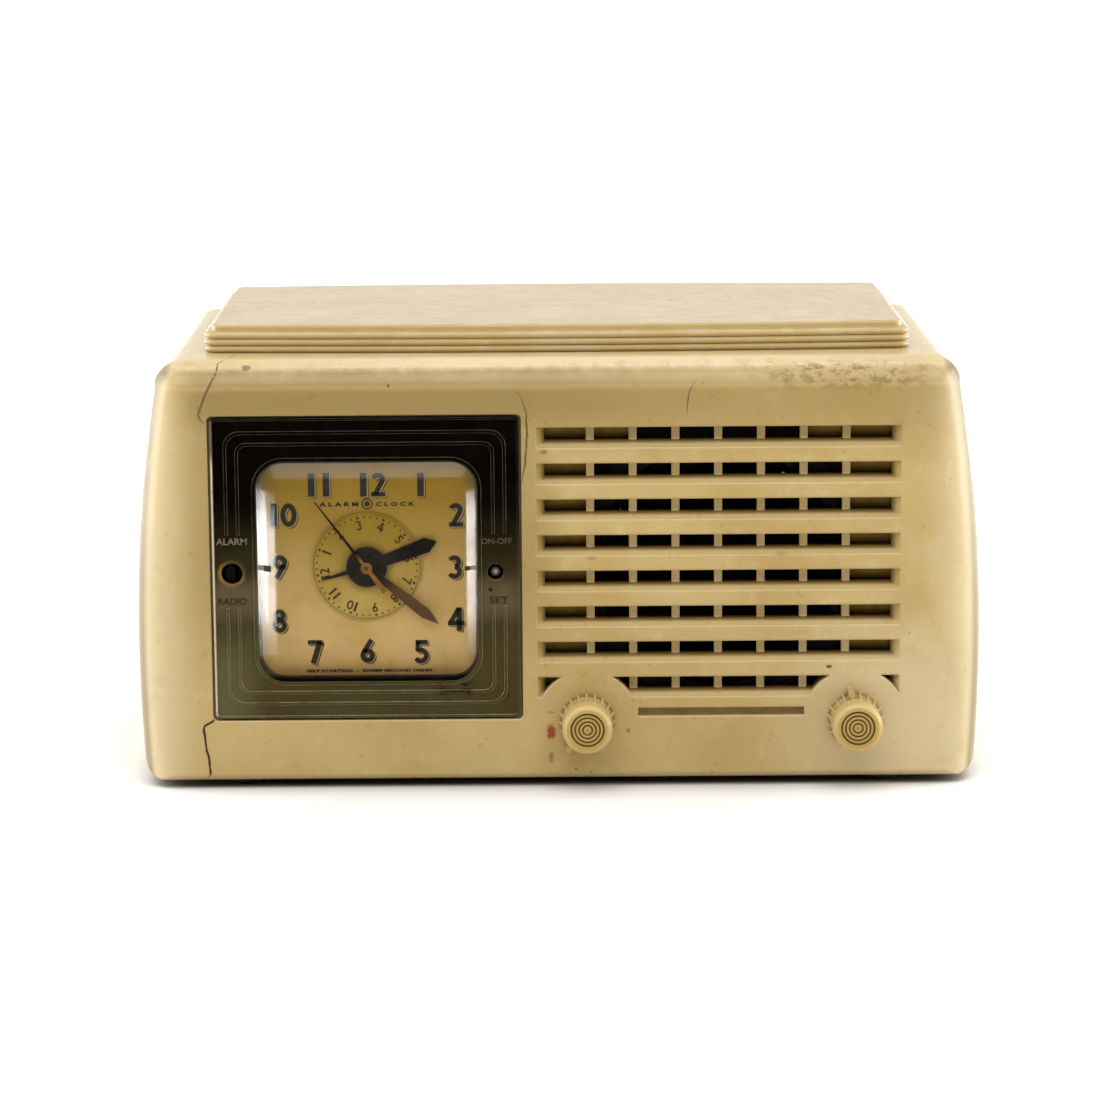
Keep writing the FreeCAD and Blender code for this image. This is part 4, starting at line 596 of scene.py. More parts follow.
def tube_glass():
    """Glass envelope with its silvered top, over a brown moulded base."""
    look = Look("tube_glass")
    smear = look.noise(9.0, 4.0, 0.6)
    base = look.mask(look.z, 0.0545, 0.0542)
    getter = look.both(look.mask(look.math("ADD", look.z, look.math("MULTIPLY", smear, 0.010)), 0.106, 0.116),
                       look.mask(look.z, 0.0545, 0.0560))
    brown = look.mix(look.mask(smear, 0.3, 0.7), (0.055, 0.028, 0.014), (0.085, 0.045, 0.022))
    shell = look.node("ShaderNodeBsdfPrincipled", Roughness=look.mask(smear, 0.3, 0.7, 0.12, 0.3),
                      Metallic=look.math("SUBTRACT", 1.0, base))
    look.plug(shell.inputs["Base Color"], look.mix(base, (0.55, 0.55, 0.53), brown))
    clear = look.node("ShaderNodeBsdfTransparent", Color=look.mix(
        look.mask(smear, 0.4, 0.7), (0.93, 0.95, 0.93), (0.86, 0.88, 0.86)))
    mirror = look.node("ShaderNodeBsdfGlossy", Roughness=0.05)
    fresnel = look.node("ShaderNodeFresnel", IOR=GLASS_IOR).outputs[0]
    envelope = look.layered(fresnel, clear, mirror)
    return look.output(look.layered(look.either(base, getter), envelope, shell).outputs[0])


def enamel(name, near, far, centre, reach, roughness=(0.25, 0.4), tip=None, bearing=None):
    """Painted hand: one colour at the hub, another towards the tip, thin and rubbed at its edges, with
    painted highlight there.
    """
    look = Look(name)
    away = look.radius(centre) if bearing is None else look.along(centre, bearing)
    cloud = look.noise(4.0, 5.0, 0.6)
    colour = look.mix(look.mask(away, reach[0] * MM, reach[1] * MM), near, far)
    colour = look.mix(look.mask(cloud, 0.45, 0.75, 0.0, 0.35), colour, shade(far, 0.6))
    # Painted highlight, with rubbing: edges painted in the tip colour.
    if tip is not None:
        colour = look.mix(look.both(look.edges(0.35), 0.75), colour, tip)
    return look.finish(colour, look.mask(cloud, 0.3, 0.7, *roughness), look.bump(look.noise(0.7), 0.1, 0.03))


def ink(name, colour, other, size=1.2):
    look = Look(name)
    patchy = look.noise(size, 5.0, 0.7)
    tone = look.mix(look.mask(patchy, 0.42, 0.72), colour, other)
    return look.finish(tone, look.mask(patchy, 0.3, 0.7, 0.45, 0.7), look.bump(patchy, 0.1, 0.02))


def resistor_bands():
    look = Look("paint_bands")
    body = look.mix(look.mask(look.noise(2.0), 0.3, 0.7), (0.36, 0.20, 0.09), (0.27, 0.14, 0.06))
    wave = look.node("ShaderNodeTexWave", {"bands_direction": "X"}, Vector=look.place, Scale=150.0,
                     Distortion=0.0)
    stripe = look.mask(wave.outputs[0], 0.72, 0.80)
    hue = look.mask(look.noise(5.0, 1.0, seed=7.0), 0.45, 0.55)
    paint = look.mix(hue, (0.45, 0.05, 0.03), (0.60, 0.42, 0.05))
    colour = look.mix(look.both(stripe, 0.9), body, paint)
    return look.finish(colour, look.mask(look.noise(1.0), 0.3, 0.7, 0.4, 0.6),
                       look.bump(look.noise(0.6), 0.1, 0.05))


LOOKS = {
    "cabinet": ivory_cabinet(),
    "volume_knob": ivory_knob("knob_ivory_volume", KNOBS["volume"]),
    "tuning_knob": ivory_knob("knob_ivory_tuning", KNOBS["tuning"]),
    "feet": matte("foot_rubber", (0.030, 0.026, 0.022), (0.055, 0.048, 0.040), fibre=0.9),
    "clock_bezel": bezel_bronze(),
    "clock_dial": dial_paint(),
    "alarm_disc": alarm_paint(),
    "hour_hand": enamel("hand_black", (0.030, 0.026, 0.022), (0.014, 0.011, 0.008), CLOCK, (8, 18),
                        tip=(0.26, 0.21, 0.12)),
    "minute_hand": enamel("hand_bronze", (0.030, 0.022, 0.016), (0.165, 0.085, 0.038), CLOCK, (5, 17),
                          tip=(0.22, 0.14, 0.08)),
    "second_hand": enamel("hand_sweep", (0.38, 0.19, 0.035), (0.022, 0.011, 0.006), CLOCK, (3.0, 7.0),
                          bearing=323.0),
}
ZINC = metal("plated_steel", (0.56, 0.54, 0.49), (0.38, 0.35, 0.29), worn=(0.7, 0.68, 0.62))
DARK = metal("dark_steel", (0.11, 0.10, 0.095), (0.065, 0.058, 0.05), (0.4, 0.6), worn=(0.3, 0.28, 0.25))
PAN = metal("chassis_steel", (0.60, 0.58, 0.51), (0.44, 0.41, 0.33), (0.35, 0.55), 22.0)
BRASS = metal("clock_brass", (0.62, 0.45, 0.19), (0.42, 0.28, 0.10), (0.22, 0.4), worn=(0.8, 0.64, 0.34))
ALUMINIUM = metal("aluminium_can", (0.68, 0.68, 0.66), (0.52, 0.51, 0.48), (0.3, 0.5), 12.0)
SHAFT = metal("aluminium_shaft", (0.62, 0.61, 0.58), (0.42, 0.40, 0.36), (0.25, 0.45), 3.0, grain=(1, 0.1, 1))
VANE = metal("aluminium_vane", (0.70, 0.70, 0.68), (0.55, 0.54, 0.51), (0.25, 0.4), 5.0)
COPPER = metal("copper_can", (0.72, 0.36, 0.20), (0.34, 0.20, 0.12), (0.3, 0.5), 8.0, worn=(0.8, 0.5, 0.34))
PHENOLIC = matte("phenolic", (0.16, 0.085, 0.035), (0.10, 0.052, 0.022), (0.35, 0.5), fibre=0.4)
LOOKS.update({
    "crystal_gasket": matte("gasket_card", (0.19, 0.145, 0.085), (0.13, 0.095, 0.05), fibre=0.35),
    "baffle_board": board_paint(),
    "speaker_cone": matte("cone_paper", (0.010, 0.009, 0.008), (0.005, 0.004, 0.004), (0.8, 0.95), 6.0, 0.5,
                          Specular_IOR_Level=0.1),
    "speaker_surround": matte("surround_paper", (0.012, 0.010, 0.008), (0.006, 0.005, 0.004), (0.8, 0.95),
                              5.0, 0.4, Specular_IOR_Level=0.1),
    "paper_capacitors": matte("wax_paper", (0.62, 0.48, 0.24), (0.48, 0.33, 0.13), (0.25, 0.4), 6.0, 0.8),
    "resistors": resistor_bands(),
    "back_cover": matte("hardboard", (0.135, 0.075, 0.036), (0.09, 0.048, 0.022), (0.6, 0.8), 24.0, 0.5,
                        (1, 1, 0.3), 0.25),
    "loop_antenna": matte("loop_card", (0.36, 0.24, 0.12), (0.27, 0.17, 0.08), (0.6, 0.8), 12.0, 0.4),
    "motor_coil": matte("coil_wrap", (0.10, 0.065, 0.02), (0.16, 0.11, 0.035), (0.3, 0.5), 4.0, 0.6,
                        (1, 1, 6), 0.2),
    "cord_grommet": matte("grommet_rubber", (0.028, 0.024, 0.020), (0.05, 0.042, 0.034), fibre=0.7),
    "speaker_basket": metal("basket_black", (0.020, 0.018, 0.016), (0.011, 0.010, 0.009), (0.45, 0.65), 9.0,
                            0.3, worn=(0.10, 0.09, 0.08)),
    # Painted shade: the set shaft's end darkens towards its rim.
    "set_shaft": enamel("set_shaft_metal", (0.30, 0.27, 0.22), (0.035, 0.030, 0.024), middle("set_shaft"),
                        (0.5, 1.3)),
    "selector_shaft": metal("selector_black", (0.035, 0.03, 0.025), (0.02, 0.017, 0.013), (0.2, 0.4), 2.0,
                            worn=(0.32, 0.29, 0.24)),
})
for material, names in (
        (BRASS, ("hour_wheel", "cannon_pinion", "motion_wheel", "set_idler", "seconds_wheel", "motor_pinion",
                 "movement_front_plate", "movement_back_plate")),
        (tube_glass(), ("converter_tube", "if_amplifier_tube", "detector_tube", "output_tube",
                        "rectifier_tube")),
        (ZINC, ("gang_frame", "volume_control", "volume_nut", "bezel_nuts", "baffle_screws",
                "chassis_screws", "back_cover_screws", "movement_pillars")),
        (DARK, ("speaker_magnet", "output_transformer", "motor_laminations")),
        (PHENOLIC, ("alarm_switch", "tube_sockets", "terminal_strips")),
        (ALUMINIUM, ("if_transformer_cans", "filter_capacitor")),
        (SHAFT, ("volume_shaft", "tuning_shaft")),
        (VANE, ("gang_rotor", "gang_stator")),
        (COPPER, ("motor_rotor_case",)),
        (PAN, ("chassis_pan",))):
    LOOKS.update(dict.fromkeys(names, material))
CRYSTAL = glass("crystal", (0.905, 0.89, 0.86), 0.11)
LOOKS["clock_crystal"] = CRYSTAL
for name, material in LOOKS.items():
    NODES[name].data.materials.clear()
    NODES[name].data.materials.append(material)


# ---------------------------------------------------------------- pieces
def placed(name, data):
    """New object in the scene."""
    made = bpy.data.objects.new(name, data)
    bpy.context.scene.collection.objects.link(made)
    return made


def piece(name, points, faces, material, body, smooth=False):
    """A new mesh in the row frame, riding on a body."""
    mesh = bpy.data.meshes.new(name)
    mesh.from_pydata([tuple(p) for p in points], [], faces)
    mesh.materials.append(material)
    mesh.validate()
    mesh.update()
    if smooth:
        mesh.polygons.foreach_set("use_smooth", [True] * len(mesh.polygons))
    made = placed(name, mesh)
    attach(made, body)
    return made


class Sheet:
    """Thin flat solids gathered into one mesh: printed figures, dots and marks."""

    def __init__(self, front, back):
        self.front, self.back = front, back
        self.points, self.faces = [], []

    def ribbon(self, line, width, closed=False):
        """Band of a constant or per-point width along a line of (x, z)."""
        widths = width if isinstance(width, (list, tuple)) else [width] * len(line)
        start, count = len(self.points), len(line)
        for i, (x, z) in enumerate(line):
            before = line[i - 1] if i or closed else line[i]
            after = line[(i + 1) % count] if i + 1 < count or closed else line[i]
            a = Vector((x - before[0], z - before[1]))
            b = Vector((after[0] - x, after[1] - z))
            a = a.normalized() if a.length > 1e-9 else b.normalized()
            b = b.normalized() if b.length > 1e-9 else a
            side = Vector((-(a.y + b.y), a.x + b.x)).normalized()
            reach = widths[i] / 2 / max(0.5, side.dot(Vector((-a.y, a.x))))
            for sign in (1, -1):
                px, pz = x + side.x * reach * sign, z + side.y * reach * sign
                self.points += [at(px, self.front, pz), at(px, self.back, pz)]
        for i in range(count if closed else count - 1):
            p, q = start + 4 * i, start + 4 * ((i + 1) % count)
            self.faces += [(p, q, q + 2, p + 2), (p + 1, p + 3, q + 3, q + 1),
                           (p, p + 1, q + 1, q), (p + 2, q + 2, q + 3, p + 3)]
        if not closed:
            p, q = start, start + 4 * (count - 1)
            self.faces += [(p, p + 2, p + 3, p + 1), (q, q + 1, q + 3, q + 2)]

    def disc(self, x, z, radius, count=14):
        start = len(self.points)
        for i in range(count):
            a = 2 * math.pi * i / count
            px, pz = x + radius * math.cos(a), z + radius * math.sin(a)
            self.points += [at(px, self.front, pz), at(px, self.back, pz)]
        self.faces.append(tuple(start + 2 * i for i in range(count)))
        self.faces.append(tuple(start + 2 * i + 1 for i in reversed(range(count))))
        for i in range(count):
            p, q = start + 2 * i, start + 2 * ((i + 1) % count)
            self.faces.append((p, p + 1, q + 1, q))

    def build(self, name, material, body):
        return piece(name, self.points, self.faces, material, body)


def arc(x, z, rx, rz, start, end, count=14):
    return [(x + rx * math.cos(math.radians(start + (end - start) * i / count)),
             z + rz * math.sin(math.radians(start + (end - start) * i / count)))
            for i in range(count + 1)]


def loop(x, z, rx, rz, count=26):
    return arc(x, z, rx, rz, 0, 360, count)[:-1]


# Strokes of each figure in a box one unit high: (line, width, closed).
FIGURES = {
    "0": [(loop(0, 0, 0.235, 0.395), 0.215, True)],
    "1": [([(0, -0.5), (0, 0.5)], 0.28, False)],
    "2": [(arc(-0.01, 0.225, 0.195, 0.175, 165, -25) + [(-0.13, -0.40)], 0.205, False),
          ([(-0.30, -0.405), (0.30, -0.405)], 0.19, False)],
    "3": [(arc(-0.03, 0.22, 0.19, 0.18, 155, -85), 0.20, False),
          (arc(-0.03, -0.195, 0.215, 0.205, 85, -155), 0.20, False)],
    "4": [([(0.10, 0.47), (-0.24, -0.12)], 0.19, False), ([(-0.36, -0.17), (0.33, -0.17)], 0.20, False),
          ([(0.12, 0.5), (0.12, -0.5)], 0.23, False)],
    "5": [([(-0.25, 0.405), (0.26, 0.405)], 0.19, False), ([(-0.15, 0.44), (-0.17, 0.02)], 0.19, False),
          (arc(-0.04, -0.165, 0.235, 0.235, 125, -150), 0.20, False)],
    "6": [(loop(0.0, -0.195, 0.20, 0.205), 0.205, True), ([(0.17, 0.48), (-0.17, -0.06)], 0.205, False)],
    "7": [([(-0.31, 0.405), (0.30, 0.405)], 0.19, False), ([(0.20, 0.44), (-0.10, -0.5)], 0.235, False)],
    "8": [(loop(0, 0.235, 0.165, 0.170), 0.19, True), (loop(0, -0.20, 0.205, 0.205), 0.20, True)],
}
FIGURES["9"] = [([(-x, -z) for x, z in line], width, closed) for line, width, closed in FIGURES["6"]]


def figure(sheet, text, x, z, height, turn=0.0, gap=0.62, weight=1.0, shift=(0.0, 0.0)):
    """Writes figures centred at (x, z), turned clockwise by `turn` degrees."""
    a = math.radians(turn)
    spread = gap * (len(text) - 1)
    for index, sign in enumerate(text):
        across = -spread / 2 + gap * index
        for line, width, closed in FIGURES[sign]:
            placed = []
            for px, pz in line:
                px, pz = (px + across) * height, pz * height
                placed.append((x + shift[0] + px * math.cos(a) + pz * math.sin(a),
                               z + shift[1] - px * math.sin(a) + pz * math.cos(a)))
            sheet.ribbon(placed, width * height * weight, closed)


# ---------------------------------------------------------------- crystal
def rounded_square(inset, count=10):
    """Outline of the crystal `inset` millimetres inside its edge, counterclockwise from the front."""
    half_x, half_z = CRYSTAL_HALF_X - inset, CRYSTAL_HALF_Z - inset
    corner = max(CRYSTAL_CORNER - inset * 0.72, 1.2)
    found = []
    for sx, sz, start in ((1, 1, 0), (-1, 1, 90), (-1, -1, 180), (1, -1, 270)):
        for i in range(count + 1):
            a = math.radians(start + 90.0 * i / count)
            found.append((CRYSTAL_X + sx * (half_x - corner) + corner * math.cos(a),
                          CRYSTAL_Z + sz * (half_z - corner) + corner * math.sin(a)))
    return found


CRYSTAL_BACK = 2.6
CRYSTAL_WALL = 1.5
CROWN_EDGE, CROWN_RISE, CROWN_REACH = 0.28, 4.14, 6.2
CROWN_RINGS, CROWN_FLAT = 22, 38.6


def crown(inset):
    """Depth of the crystal's outside: steep at its edge, level towards its middle."""
    return -CROWN_EDGE - CROWN_RISE * math.tanh(inset / CROWN_REACH)


def crystal_dome():
    """Pillow-shaped crystal: steep rolled sides, a gentle crown and an even wall."""
    insets = [CROWN_FLAT * (i / CROWN_RINGS) ** 2.2 for i in range(1, CROWN_RINGS + 1)]
    rings = [(0.0, CRYSTAL_BACK), (0.0, 0.1)] + [(inset, crown(inset)) for inset in insets]
    inner = [(CRYSTAL_WALL, CRYSTAL_BACK)] + [(max(inset, CRYSTAL_WALL) + 0.4, depth + CRYSTAL_WALL + 0.1)
                                              for inset, depth in rings[3:]]
    points, faces = [], []
    size = len(rounded_square(0.0))
    for inset, depth in rings + inner[::-1]:
        points += [at(x, depth, z) for x, z in rounded_square(inset)]
    outer_rows, rows = len(rings), len(rings) + len(inner)
    for row in range(rows - 1):
        if row == outer_rows - 1:
            continue
        for i in range(size):
            j = (i + 1) % size
            faces.append((row * size + i, row * size + j, (row + 1) * size + j, (row + 1) * size + i))
    last = rows - 1
    for i in range(size):
        j = (i + 1) % size
        faces.append((last * size + i, last * size + j, j, i))
    faces.append(tuple((outer_rows - 1) * size + i for i in range(size)))
    faces.append(tuple(outer_rows * size + i for i in reversed(range(size))))
    made = piece("crystal_dome", points, faces, CRYSTAL, "case", smooth=True)
    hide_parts("clock_crystal")
    return made


dome = crystal_dome()


# ---------------------------------------------------------------- dial printing
DIAL_FRONT = 6.0
FIGURE_HEIGHT = 8.9
DIAL_FIGURES = {
    "11": (-88.76, 114.2), "12": (-69.4, 114.1), "1": (-50.95, 114.0), "10": (-102.9, 102.9),
    "2": (-37.9, 102.5), "9": (-103.7, 83.3), "3": (-38.5, 82.8), "8": (-104.3, 62.8),
    "4": (-38.2, 63.0), "7": (-91.1, 50.9), "6": (-71.6, 51.1), "5": (-51.4, 50.7),
}
DIAL_INK = ink("dial_ink", (0.032, 0.032, 0.027), (0.060, 0.056, 0.044))
DIAL_GROUND = ink("dial_ground", (0.55, 0.40, 0.17), (0.50, 0.35, 0.13), 3.0)
SMALL_INK = ink("alarm_ink", (0.060, 0.036, 0.010), (0.13, 0.08, 0.02))
for layer, (name, front, shift, material) in enumerate((
        ("dial_figure_outlines", DIAL_FRONT - 0.03, (0.66, -0.62), DIAL_INK),
        ("dial_figure_gaps", DIAL_FRONT - 0.05, (0.36, -0.34), DIAL_GROUND),
        ("dial_figures", DIAL_FRONT - 0.07, (0.0, 0.0), DIAL_INK))):
    sheet = Sheet(front, DIAL_FRONT)
    for text, (x, z) in DIAL_FIGURES.items():
        figure(sheet, text, x, z, FIGURE_HEIGHT, shift=shift)
    sheet.build(name, material, "case")


def crystal_clip(name, side, z, start, end, half, material):
    """Thin metal tongue lying on the crystal's rolled side, between two insets."""
    steps = 6
    points, faces = [], []
    for i in range(steps + 1):
        inset = start + (end - start) * i / steps
        x, depth = CRYSTAL_X + side * (CRYSTAL_HALF_X - inset), crown(inset)
        points += [at(x, depth - lift, z + up)
                   for lift, up in ((0.12, half), (0.12, -half), (-0.2, -half), (-0.2, half))]
    for i in range(steps):
        for k in range(4):
            m = (k + 1) % 4
            faces.append((4 * i + k, 4 * i + m, 4 * (i + 1) + m, 4 * (i + 1) + k))
    faces += [(0, 3, 2, 1), tuple(4 * steps + k for k in range(4))]
    return piece(name, points, faces, material, "case")


CLIP_METAL = ink("clip_metal", (0.25, 0.20, 0.12), (0.14, 0.105, 0.055))
CLIP_DARK = ink("clip_dark", (0.030, 0.024, 0.016), (0.055, 0.042, 0.026))
crystal_clip("crystal_clip_left", -1, 84.4, 0.3, 2.6, 0.95, CLIP_METAL)
crystal_clip("crystal_clip_left_tip", -1, 84.4, 2.6, 5.3, 1.15, CLIP_DARK)
crystal_clip("crystal_clip_right", 1, 83.9, 0.3, 2.6, 0.75, CLIP_METAL)
crystal_clip("crystal_clip_right_tip", 1, 83.9, 2.6, 4.6, 0.85, CLIP_DARK)

AXIS_X, AXIS_Z = CLOCK.x / MM, CLOCK.z / MM
ALARM_FRONT = 5.0


def clock_point(radius, degrees):
    a = math.radians(degrees)
    return AXIS_X + radius * math.sin(a), AXIS_Z + radius * math.cos(a)


alarm = Sheet(ALARM_FRONT - 0.03, ALARM_FRONT)
for hour in range(12):
    bearing = 260.0 + 30.0 * hour
    figure(alarm, str(hour or 12), *clock_point(15.8, bearing), 3.7, bearing, gap=0.60, weight=0.80)
for mark in range(48):
    x, z = clock_point(18.6, 260.0 + 7.5 * mark)
    alarm.disc(x, z, 0.52 if mark % 4 == 0 else 0.36, 10)
alarm.build("alarm_figures", SMALL_INK, "alarm")


# ---------------------------------------------------------------- lettering on the bezel
def lettering(name, text, x, z, height, width, material, depth=0.5,
              weight=0.015):
    """Small raised capitals on a flat face, fitted to a width."""
    curve = bpy.data.curves.new(name, "FONT")
    curve.body = text
    curve.align_x = "CENTER"
    curve.align_y = "CENTER"
    curve.size = 1.0
    curve.offset = weight
    curve.extrude = 0.5
    curve.resolution_u = 3
    holder = placed(name, curve)
    bpy.context.view_layer.update()
    mesh = bpy.data.meshes.new_from_object(holder)
    bpy.data.objects.remove(holder)
    xs = [v.co.x for v in mesh.vertices]
    ys = [v.co.y for v in mesh.vertices]
    wide, tall = max(xs) - min(xs), max(ys) - min(ys)
    for v in mesh.vertices:
        across = (v.co.x - (max(xs) + min(xs)) / 2) / wide * width
        up = (v.co.y - (max(ys) + min(ys)) / 2) / tall * height
        v.co = at(x + across, depth - 0.04 - 0.04 * v.co.z / 0.5, z + up)
    mesh.materials.clear()
    mesh.materials.append(material)
    made = placed(name, mesh)
    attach(made, "case")
    return made


for name, text, x, z, height, width in (("dial_word_left", "A L A R M", -81.4, 106.8, 1.6, 14.6),
                                        ("dial_word_right", "C L O C K", -60.4, 106.8, 1.6, 14.6),
                                        ("dial_word_low", "SELF STARTING  -  SWEEP SECOND HAND", -70.9, 43.6,
                                         1.15, 47.0)):
    lettering(name, text, x, z, height, width, DIAL_INK, DIAL_FRONT, 0.045)
emblem = Sheet(DIAL_FRONT - 0.07, DIAL_FRONT)
emblem.ribbon(loop(-70.9, 106.9, 1.9, 1.9), 0.45, closed=True)
emblem.disc(-70.9, 106.9, 1.05, 16)
emblem.build("dial_emblem", DIAL_INK, "case")
PALE_LETTER = ink("label_pale", (0.19, 0.155, 0.10), (0.08, 0.062, 0.038), 0.8)
DARK_LETTER = ink("label_dark", (0.012, 0.009, 0.004), (0.035, 0.028, 0.015), 0.8)
DIM_LETTER = ink("label_dim", (0.085, 0.070, 0.042), (0.035, 0.028, 0.016), 0.8)
for name, text, x, z, height, width, material in (
        ("label_alarm", "ALARM", -121.1, 94.0, 2.5, 11.4, PALE_LETTER),
        ("label_radio", "RADIO", -121.2, 71.4, 2.6, 10.6, DARK_LETTER),
        ("label_on_off", "ON-OFF", -22.9, 93.5, 2.3, 11.4, DIM_LETTER),
        ("label_set", "SET", -22.2, 71.3, 2.6, 7.0, DARK_LETTER)):
    lettering(name, text, x, z, height, width, material)
dot = Sheet(0.42, 0.5)
dot.disc(-25.3, 75.2, 0.75, 16)
dot.build("label_dot", DARK_LETTER, "case")

# ---------------------------------------------------------------- cracks
CABINET_TREE = BVHTree.FromPolygons([v.co for v in NODES["cabinet"].data.vertices],
                                    [p.vertices for p in NODES["cabinet"].data.polygons])
CAMERA_AT = Vector((-3.3 * MM, FRONT - 1.362, 0.345))


def crack(name, line, width, material, seed, ends=(0.35, 0.35)):
    """Hairline that follows the cabinet's surface behind a line drawn on its front plane."""
    rng = random.Random(seed)
    stations = []
    for (x0, z0), (x1, z1) in zip(line, line[1:]):
        steps = max(2, int(math.hypot(x1 - x0, z1 - z0) / 0.9))
        for i in range(steps):
            stations.append((x0 + (x1 - x0) * i / steps, z0 + (z1 - z0) * i / steps))
    stations.append(line[-1])
    points, faces, found = [], [], []
    for i, (x, z) in enumerate(stations):
        jitter = 0.16 * (rng.random() - 0.5) + 0.10 * math.sin(i * 0.9 + seed)
        target = at(x + jitter, 0.0, z)
        hit, normal, _, _ = CABINET_TREE.ray_cast(CAMERA_AT, (target - CAMERA_AT).normalized())
        if hit is not None:
            found.append((hit, normal))
    count = len(found)
    for i, (hit, normal) in enumerate(found):
        ahead = found[min(i + 1, count - 1)][0] - found[max(i - 1, 0)][0]
        side = ahead.cross(normal).normalized()
        share = i / (count - 1)
        taper = min(1.0, share / ends[0] + 0.12, (1 - share) / ends[1] + 0.12)
        half = width * MM / 2 * taper * (0.8 + 0.4 * rng.random())
        lifted = hit + normal * 0.02 * MM
        points += [lifted + side * half, lifted - side * half, hit - normal * 0.25 * MM]
        if i:
            p, q = 3 * (i - 1), 3 * i
            faces += [(p, q, q + 1, p + 1), (p + 1, q + 1, q + 2, p + 2), (p + 2, q + 2, q, p)]
    faces += [(0, 1, 2), (3 * count - 1, 3 * count - 2, 3 * count - 3)]
    return piece(name, points, faces, material, "case")


CRACK_SOFT = ink("crack_brown", (0.14, 0.090, 0.024), (0.20, 0.13, 0.035), 2.0)
CRACK_DARK = ink("crack_dark", (0.045, 0.022, 0.006), (0.10, 0.055, 0.012), 2.5)
crack("crack_upper_left", [(-117.0, 164.2), (-121.2, 162.4), (-124.4, 160.6), (-125.9, 156.0),
                           (-128.3, 151.8), (-129.8, 148.0), (-131.6, 144.0), (-132.3, 141.5),
                           (-131.2, 139.2), (-129.9, 138.2)],
      0.75, CRACK_SOFT, 3, (0.45, 0.12))
crack("crack_clock_right", [(-15.9, 150.2), (-13.0, 146.6), (-11.5, 141.0), (-11.3, 133.0), (-11.9, 124.0),
                            (-13.1, 117.0), (-14.3, 112.4)], 0.75, CRACK_SOFT, 5)
crack("crack_upper_right", [(50.9, 153.4), (48.2, 148.0), (47.6, 140.4)], 0.45, CRACK_SOFT, 8)
crack("crack_lower_left", [(-128.3, 27.2), (-129.6, 25.9), (-132.6, 24.2), (-132.9, 22.4), (-132.4, 17.5),
                           (-131.8, 13.5), (-131.0, 9.5), (-130.8, 5.9), (-131.5, 4.6), (-133.6, 3.6)],
      0.85, CRACK_DARK, 11, (0.02, 0.15))

# ---------------------------------------------------------------- stage, lights and camera
def lit_sheet():
    """White sheet with a painted contact shadow under the base; far away it is lit from below."""
    look = Look("floor")
    look.colour = look.mix(look.noise(400.0, 2.0), (0.90, 0.90, 0.895), (0.94, 0.94, 0.935))
    # Painted dark reflection: beyond the front of the sheet, glossy rays see a dark colour.
    mirrored = look.node("ShaderNodeLightPath").outputs["Is Glossy Ray"]
    beyond = look.both(mirrored, look.mask(look.y, -0.076, -0.100))
    look.paint((0.02, 0.018, 0.015), beyond, 0.97)
    # Painted contact shadow: darker where the sheet is enclosed under the base.
    look.paint((0.10, 0.08, 0.06), look.mask(look.recess(22.0), 0.40, 0.90), 0.9)
    away = look.math("SQRT", look.math("ADD", look.math("MULTIPLY", look.x, look.x),
                                       look.math("MULTIPLY", look.y, look.y)))
    glow = look.both(look.mask(away, 0.22, 0.95), 0.45, look.math("SUBTRACT", 1.0, beyond))
    total = look.node("ShaderNodeAddShader")
    look.plug(total.inputs[0], look.node("ShaderNodeBsdfDiffuse", Color=look.colour).outputs[0])
    look.plug(total.inputs[1], look.node("ShaderNodeEmission", Strength=glow).outputs[0])
    return look.output(total.outputs[0])


SHEET_HALF = 9.0
mesh = bpy.data.meshes.new("floor")
mesh.from_pydata([(-SHEET_HALF, -SHEET_HALF, 0), (SHEET_HALF, -SHEET_HALF, 0),
                  (SHEET_HALF, SHEET_HALF, 0), (-SHEET_HALF, SHEET_HALF, 0)], [], [(0, 1, 2, 3)])
mesh.materials.append(lit_sheet())
placed("floor", mesh)

world = bpy.data.worlds.new("studio")
bpy.context.scene.world = world
studio = Look("studio", world)
# Brighter overhead and towards the back.
_, back, up = studio.node("ShaderNodeSeparateXYZ",
                          Vector=studio.node("ShaderNodeTexCoord").outputs["Generated"]).outputs
strength = studio.mask(studio.math("MULTIPLY_ADD", up, 0.6, back), -0.8, 0.45, 0.05, 0.98)
background = studio.node("ShaderNodeBackground", Color=rgba(1.0, 0.99, 0.97), Strength=strength)
studio.node("ShaderNodeOutputWorld", Surface=background.outputs[0])


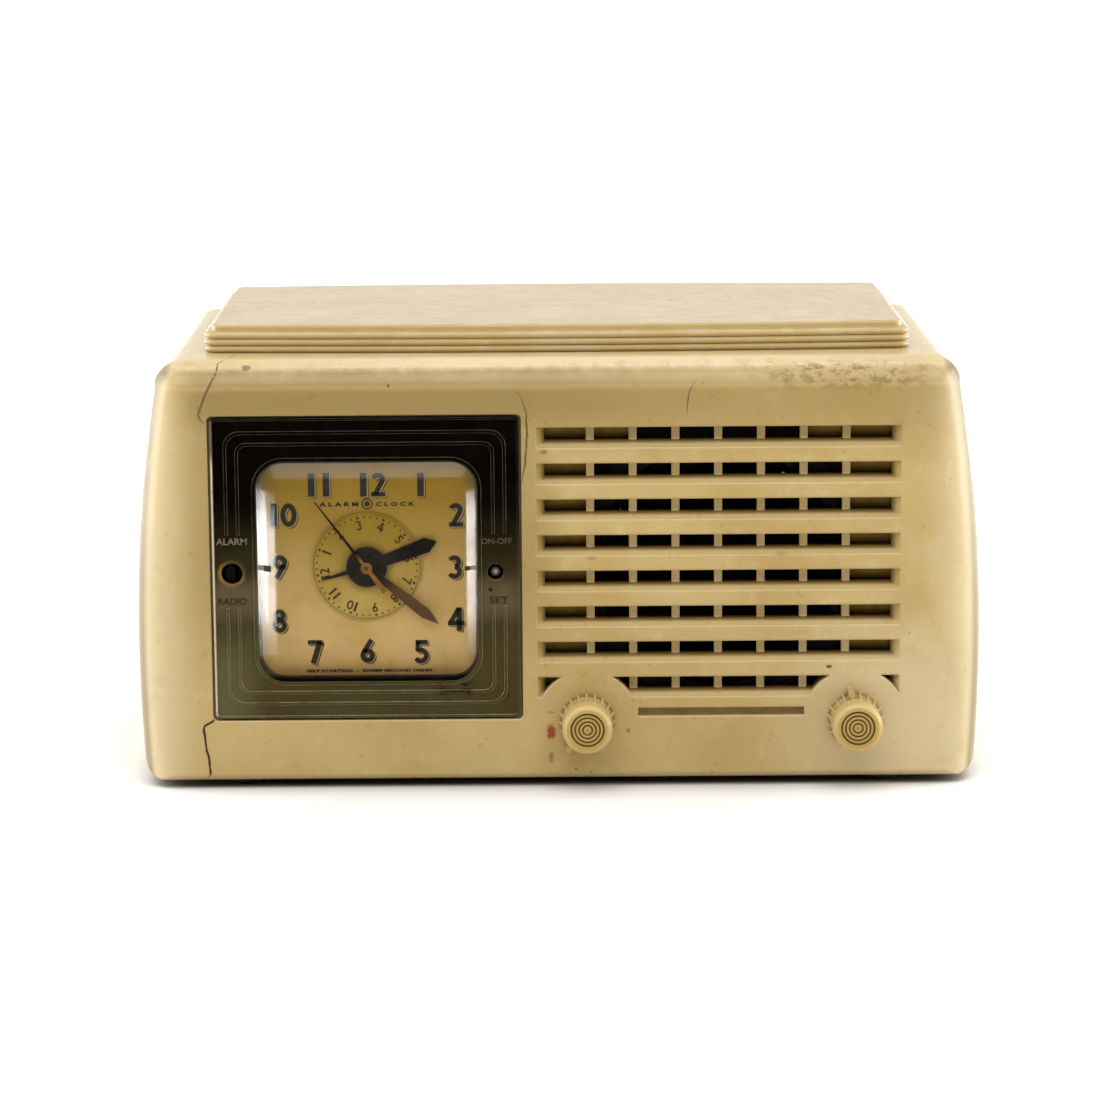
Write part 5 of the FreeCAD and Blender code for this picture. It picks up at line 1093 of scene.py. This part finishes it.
def softbox(name, place, target, width, height, radiance, only=None):
    """Area light of a given brightness, aimed at a point; `only` makes it a reflection in one object."""
    light = bpy.data.lights.new(name, "AREA")
    light.shape = "RECTANGLE"
    light.size, light.size_y = width, height
    light.energy = radiance * math.pi * width * height
    lamp = placed(name, light)
    lamp.location = place
    lamp.rotation_euler = (Vector(target) - Vector(place)).to_track_quat("-Z", "Y").to_euler()
    lamp.visible_camera = False
    if only is not None:
        lamp.visible_diffuse = False
        lamp.light_linking.receiver_collection = only
    return lamp


softbox("left_box", (-1.05, 0.02, 0.27), (0, 0.0, 0.10), 0.9, 0.8, 3.1)
softbox("right_box", (1.05, 0.02, 0.27), (0, 0.0, 0.10), 0.9, 0.8, 3.6)
softbox("rear_left_box", (-0.68, 1.00, 0.09), (0, 0.0, 0.10), 0.9, 0.16, 5.0)
softbox("rear_right_box", (0.68, 1.00, 0.09), (0, 0.0, 0.10), 0.9, 0.16, 5.0)
softbox("front_box", (0.0, -1.0, 1.02), (0, -0.07, 0.10), 1.8, 0.8, 1.82)
softbox("top_strip", (0.0, 0.02, 1.35), (0, 0.0, 0.10), 1.6, 0.14, 4.5)
# Cards seen only as reflections in the crystal.
mirrors = bpy.data.collections.new("mirrors")
mirrors.objects.link(dome)
softbox("left_card", (-0.304, -0.274, 0.020), (-0.108, -0.078, 0.040), 0.15, 0.076, 14.0, mirrors)
softbox("left_side_card", (-0.392, -0.160, 0.022), (-0.110, -0.078, 0.040), 0.22, 0.090, 22.0, mirrors)
softbox("right_card", (0.196, -0.227, 0.032), (-0.034, -0.078, 0.046), 0.09, 0.080, 16.0, mirrors)

camera_data = bpy.data.cameras.new("camera")
camera_data.sensor_width = 36.0
camera_data.lens = 122.4
camera_data.clip_start, camera_data.clip_end = 0.05, 40.0
camera = placed("camera", camera_data)
pitch, roll = math.radians(90.0 - 10.6), math.radians(-0.42)
turned = Matrix.Rotation(pitch, 4, "X") @ Matrix.Rotation(roll, 4, "Z")
camera.matrix_world = Matrix.Translation(CAMERA_AT) @ turned
bpy.context.scene.camera = camera
bpy.context.scene.view_settings.view_transform = "Standard"
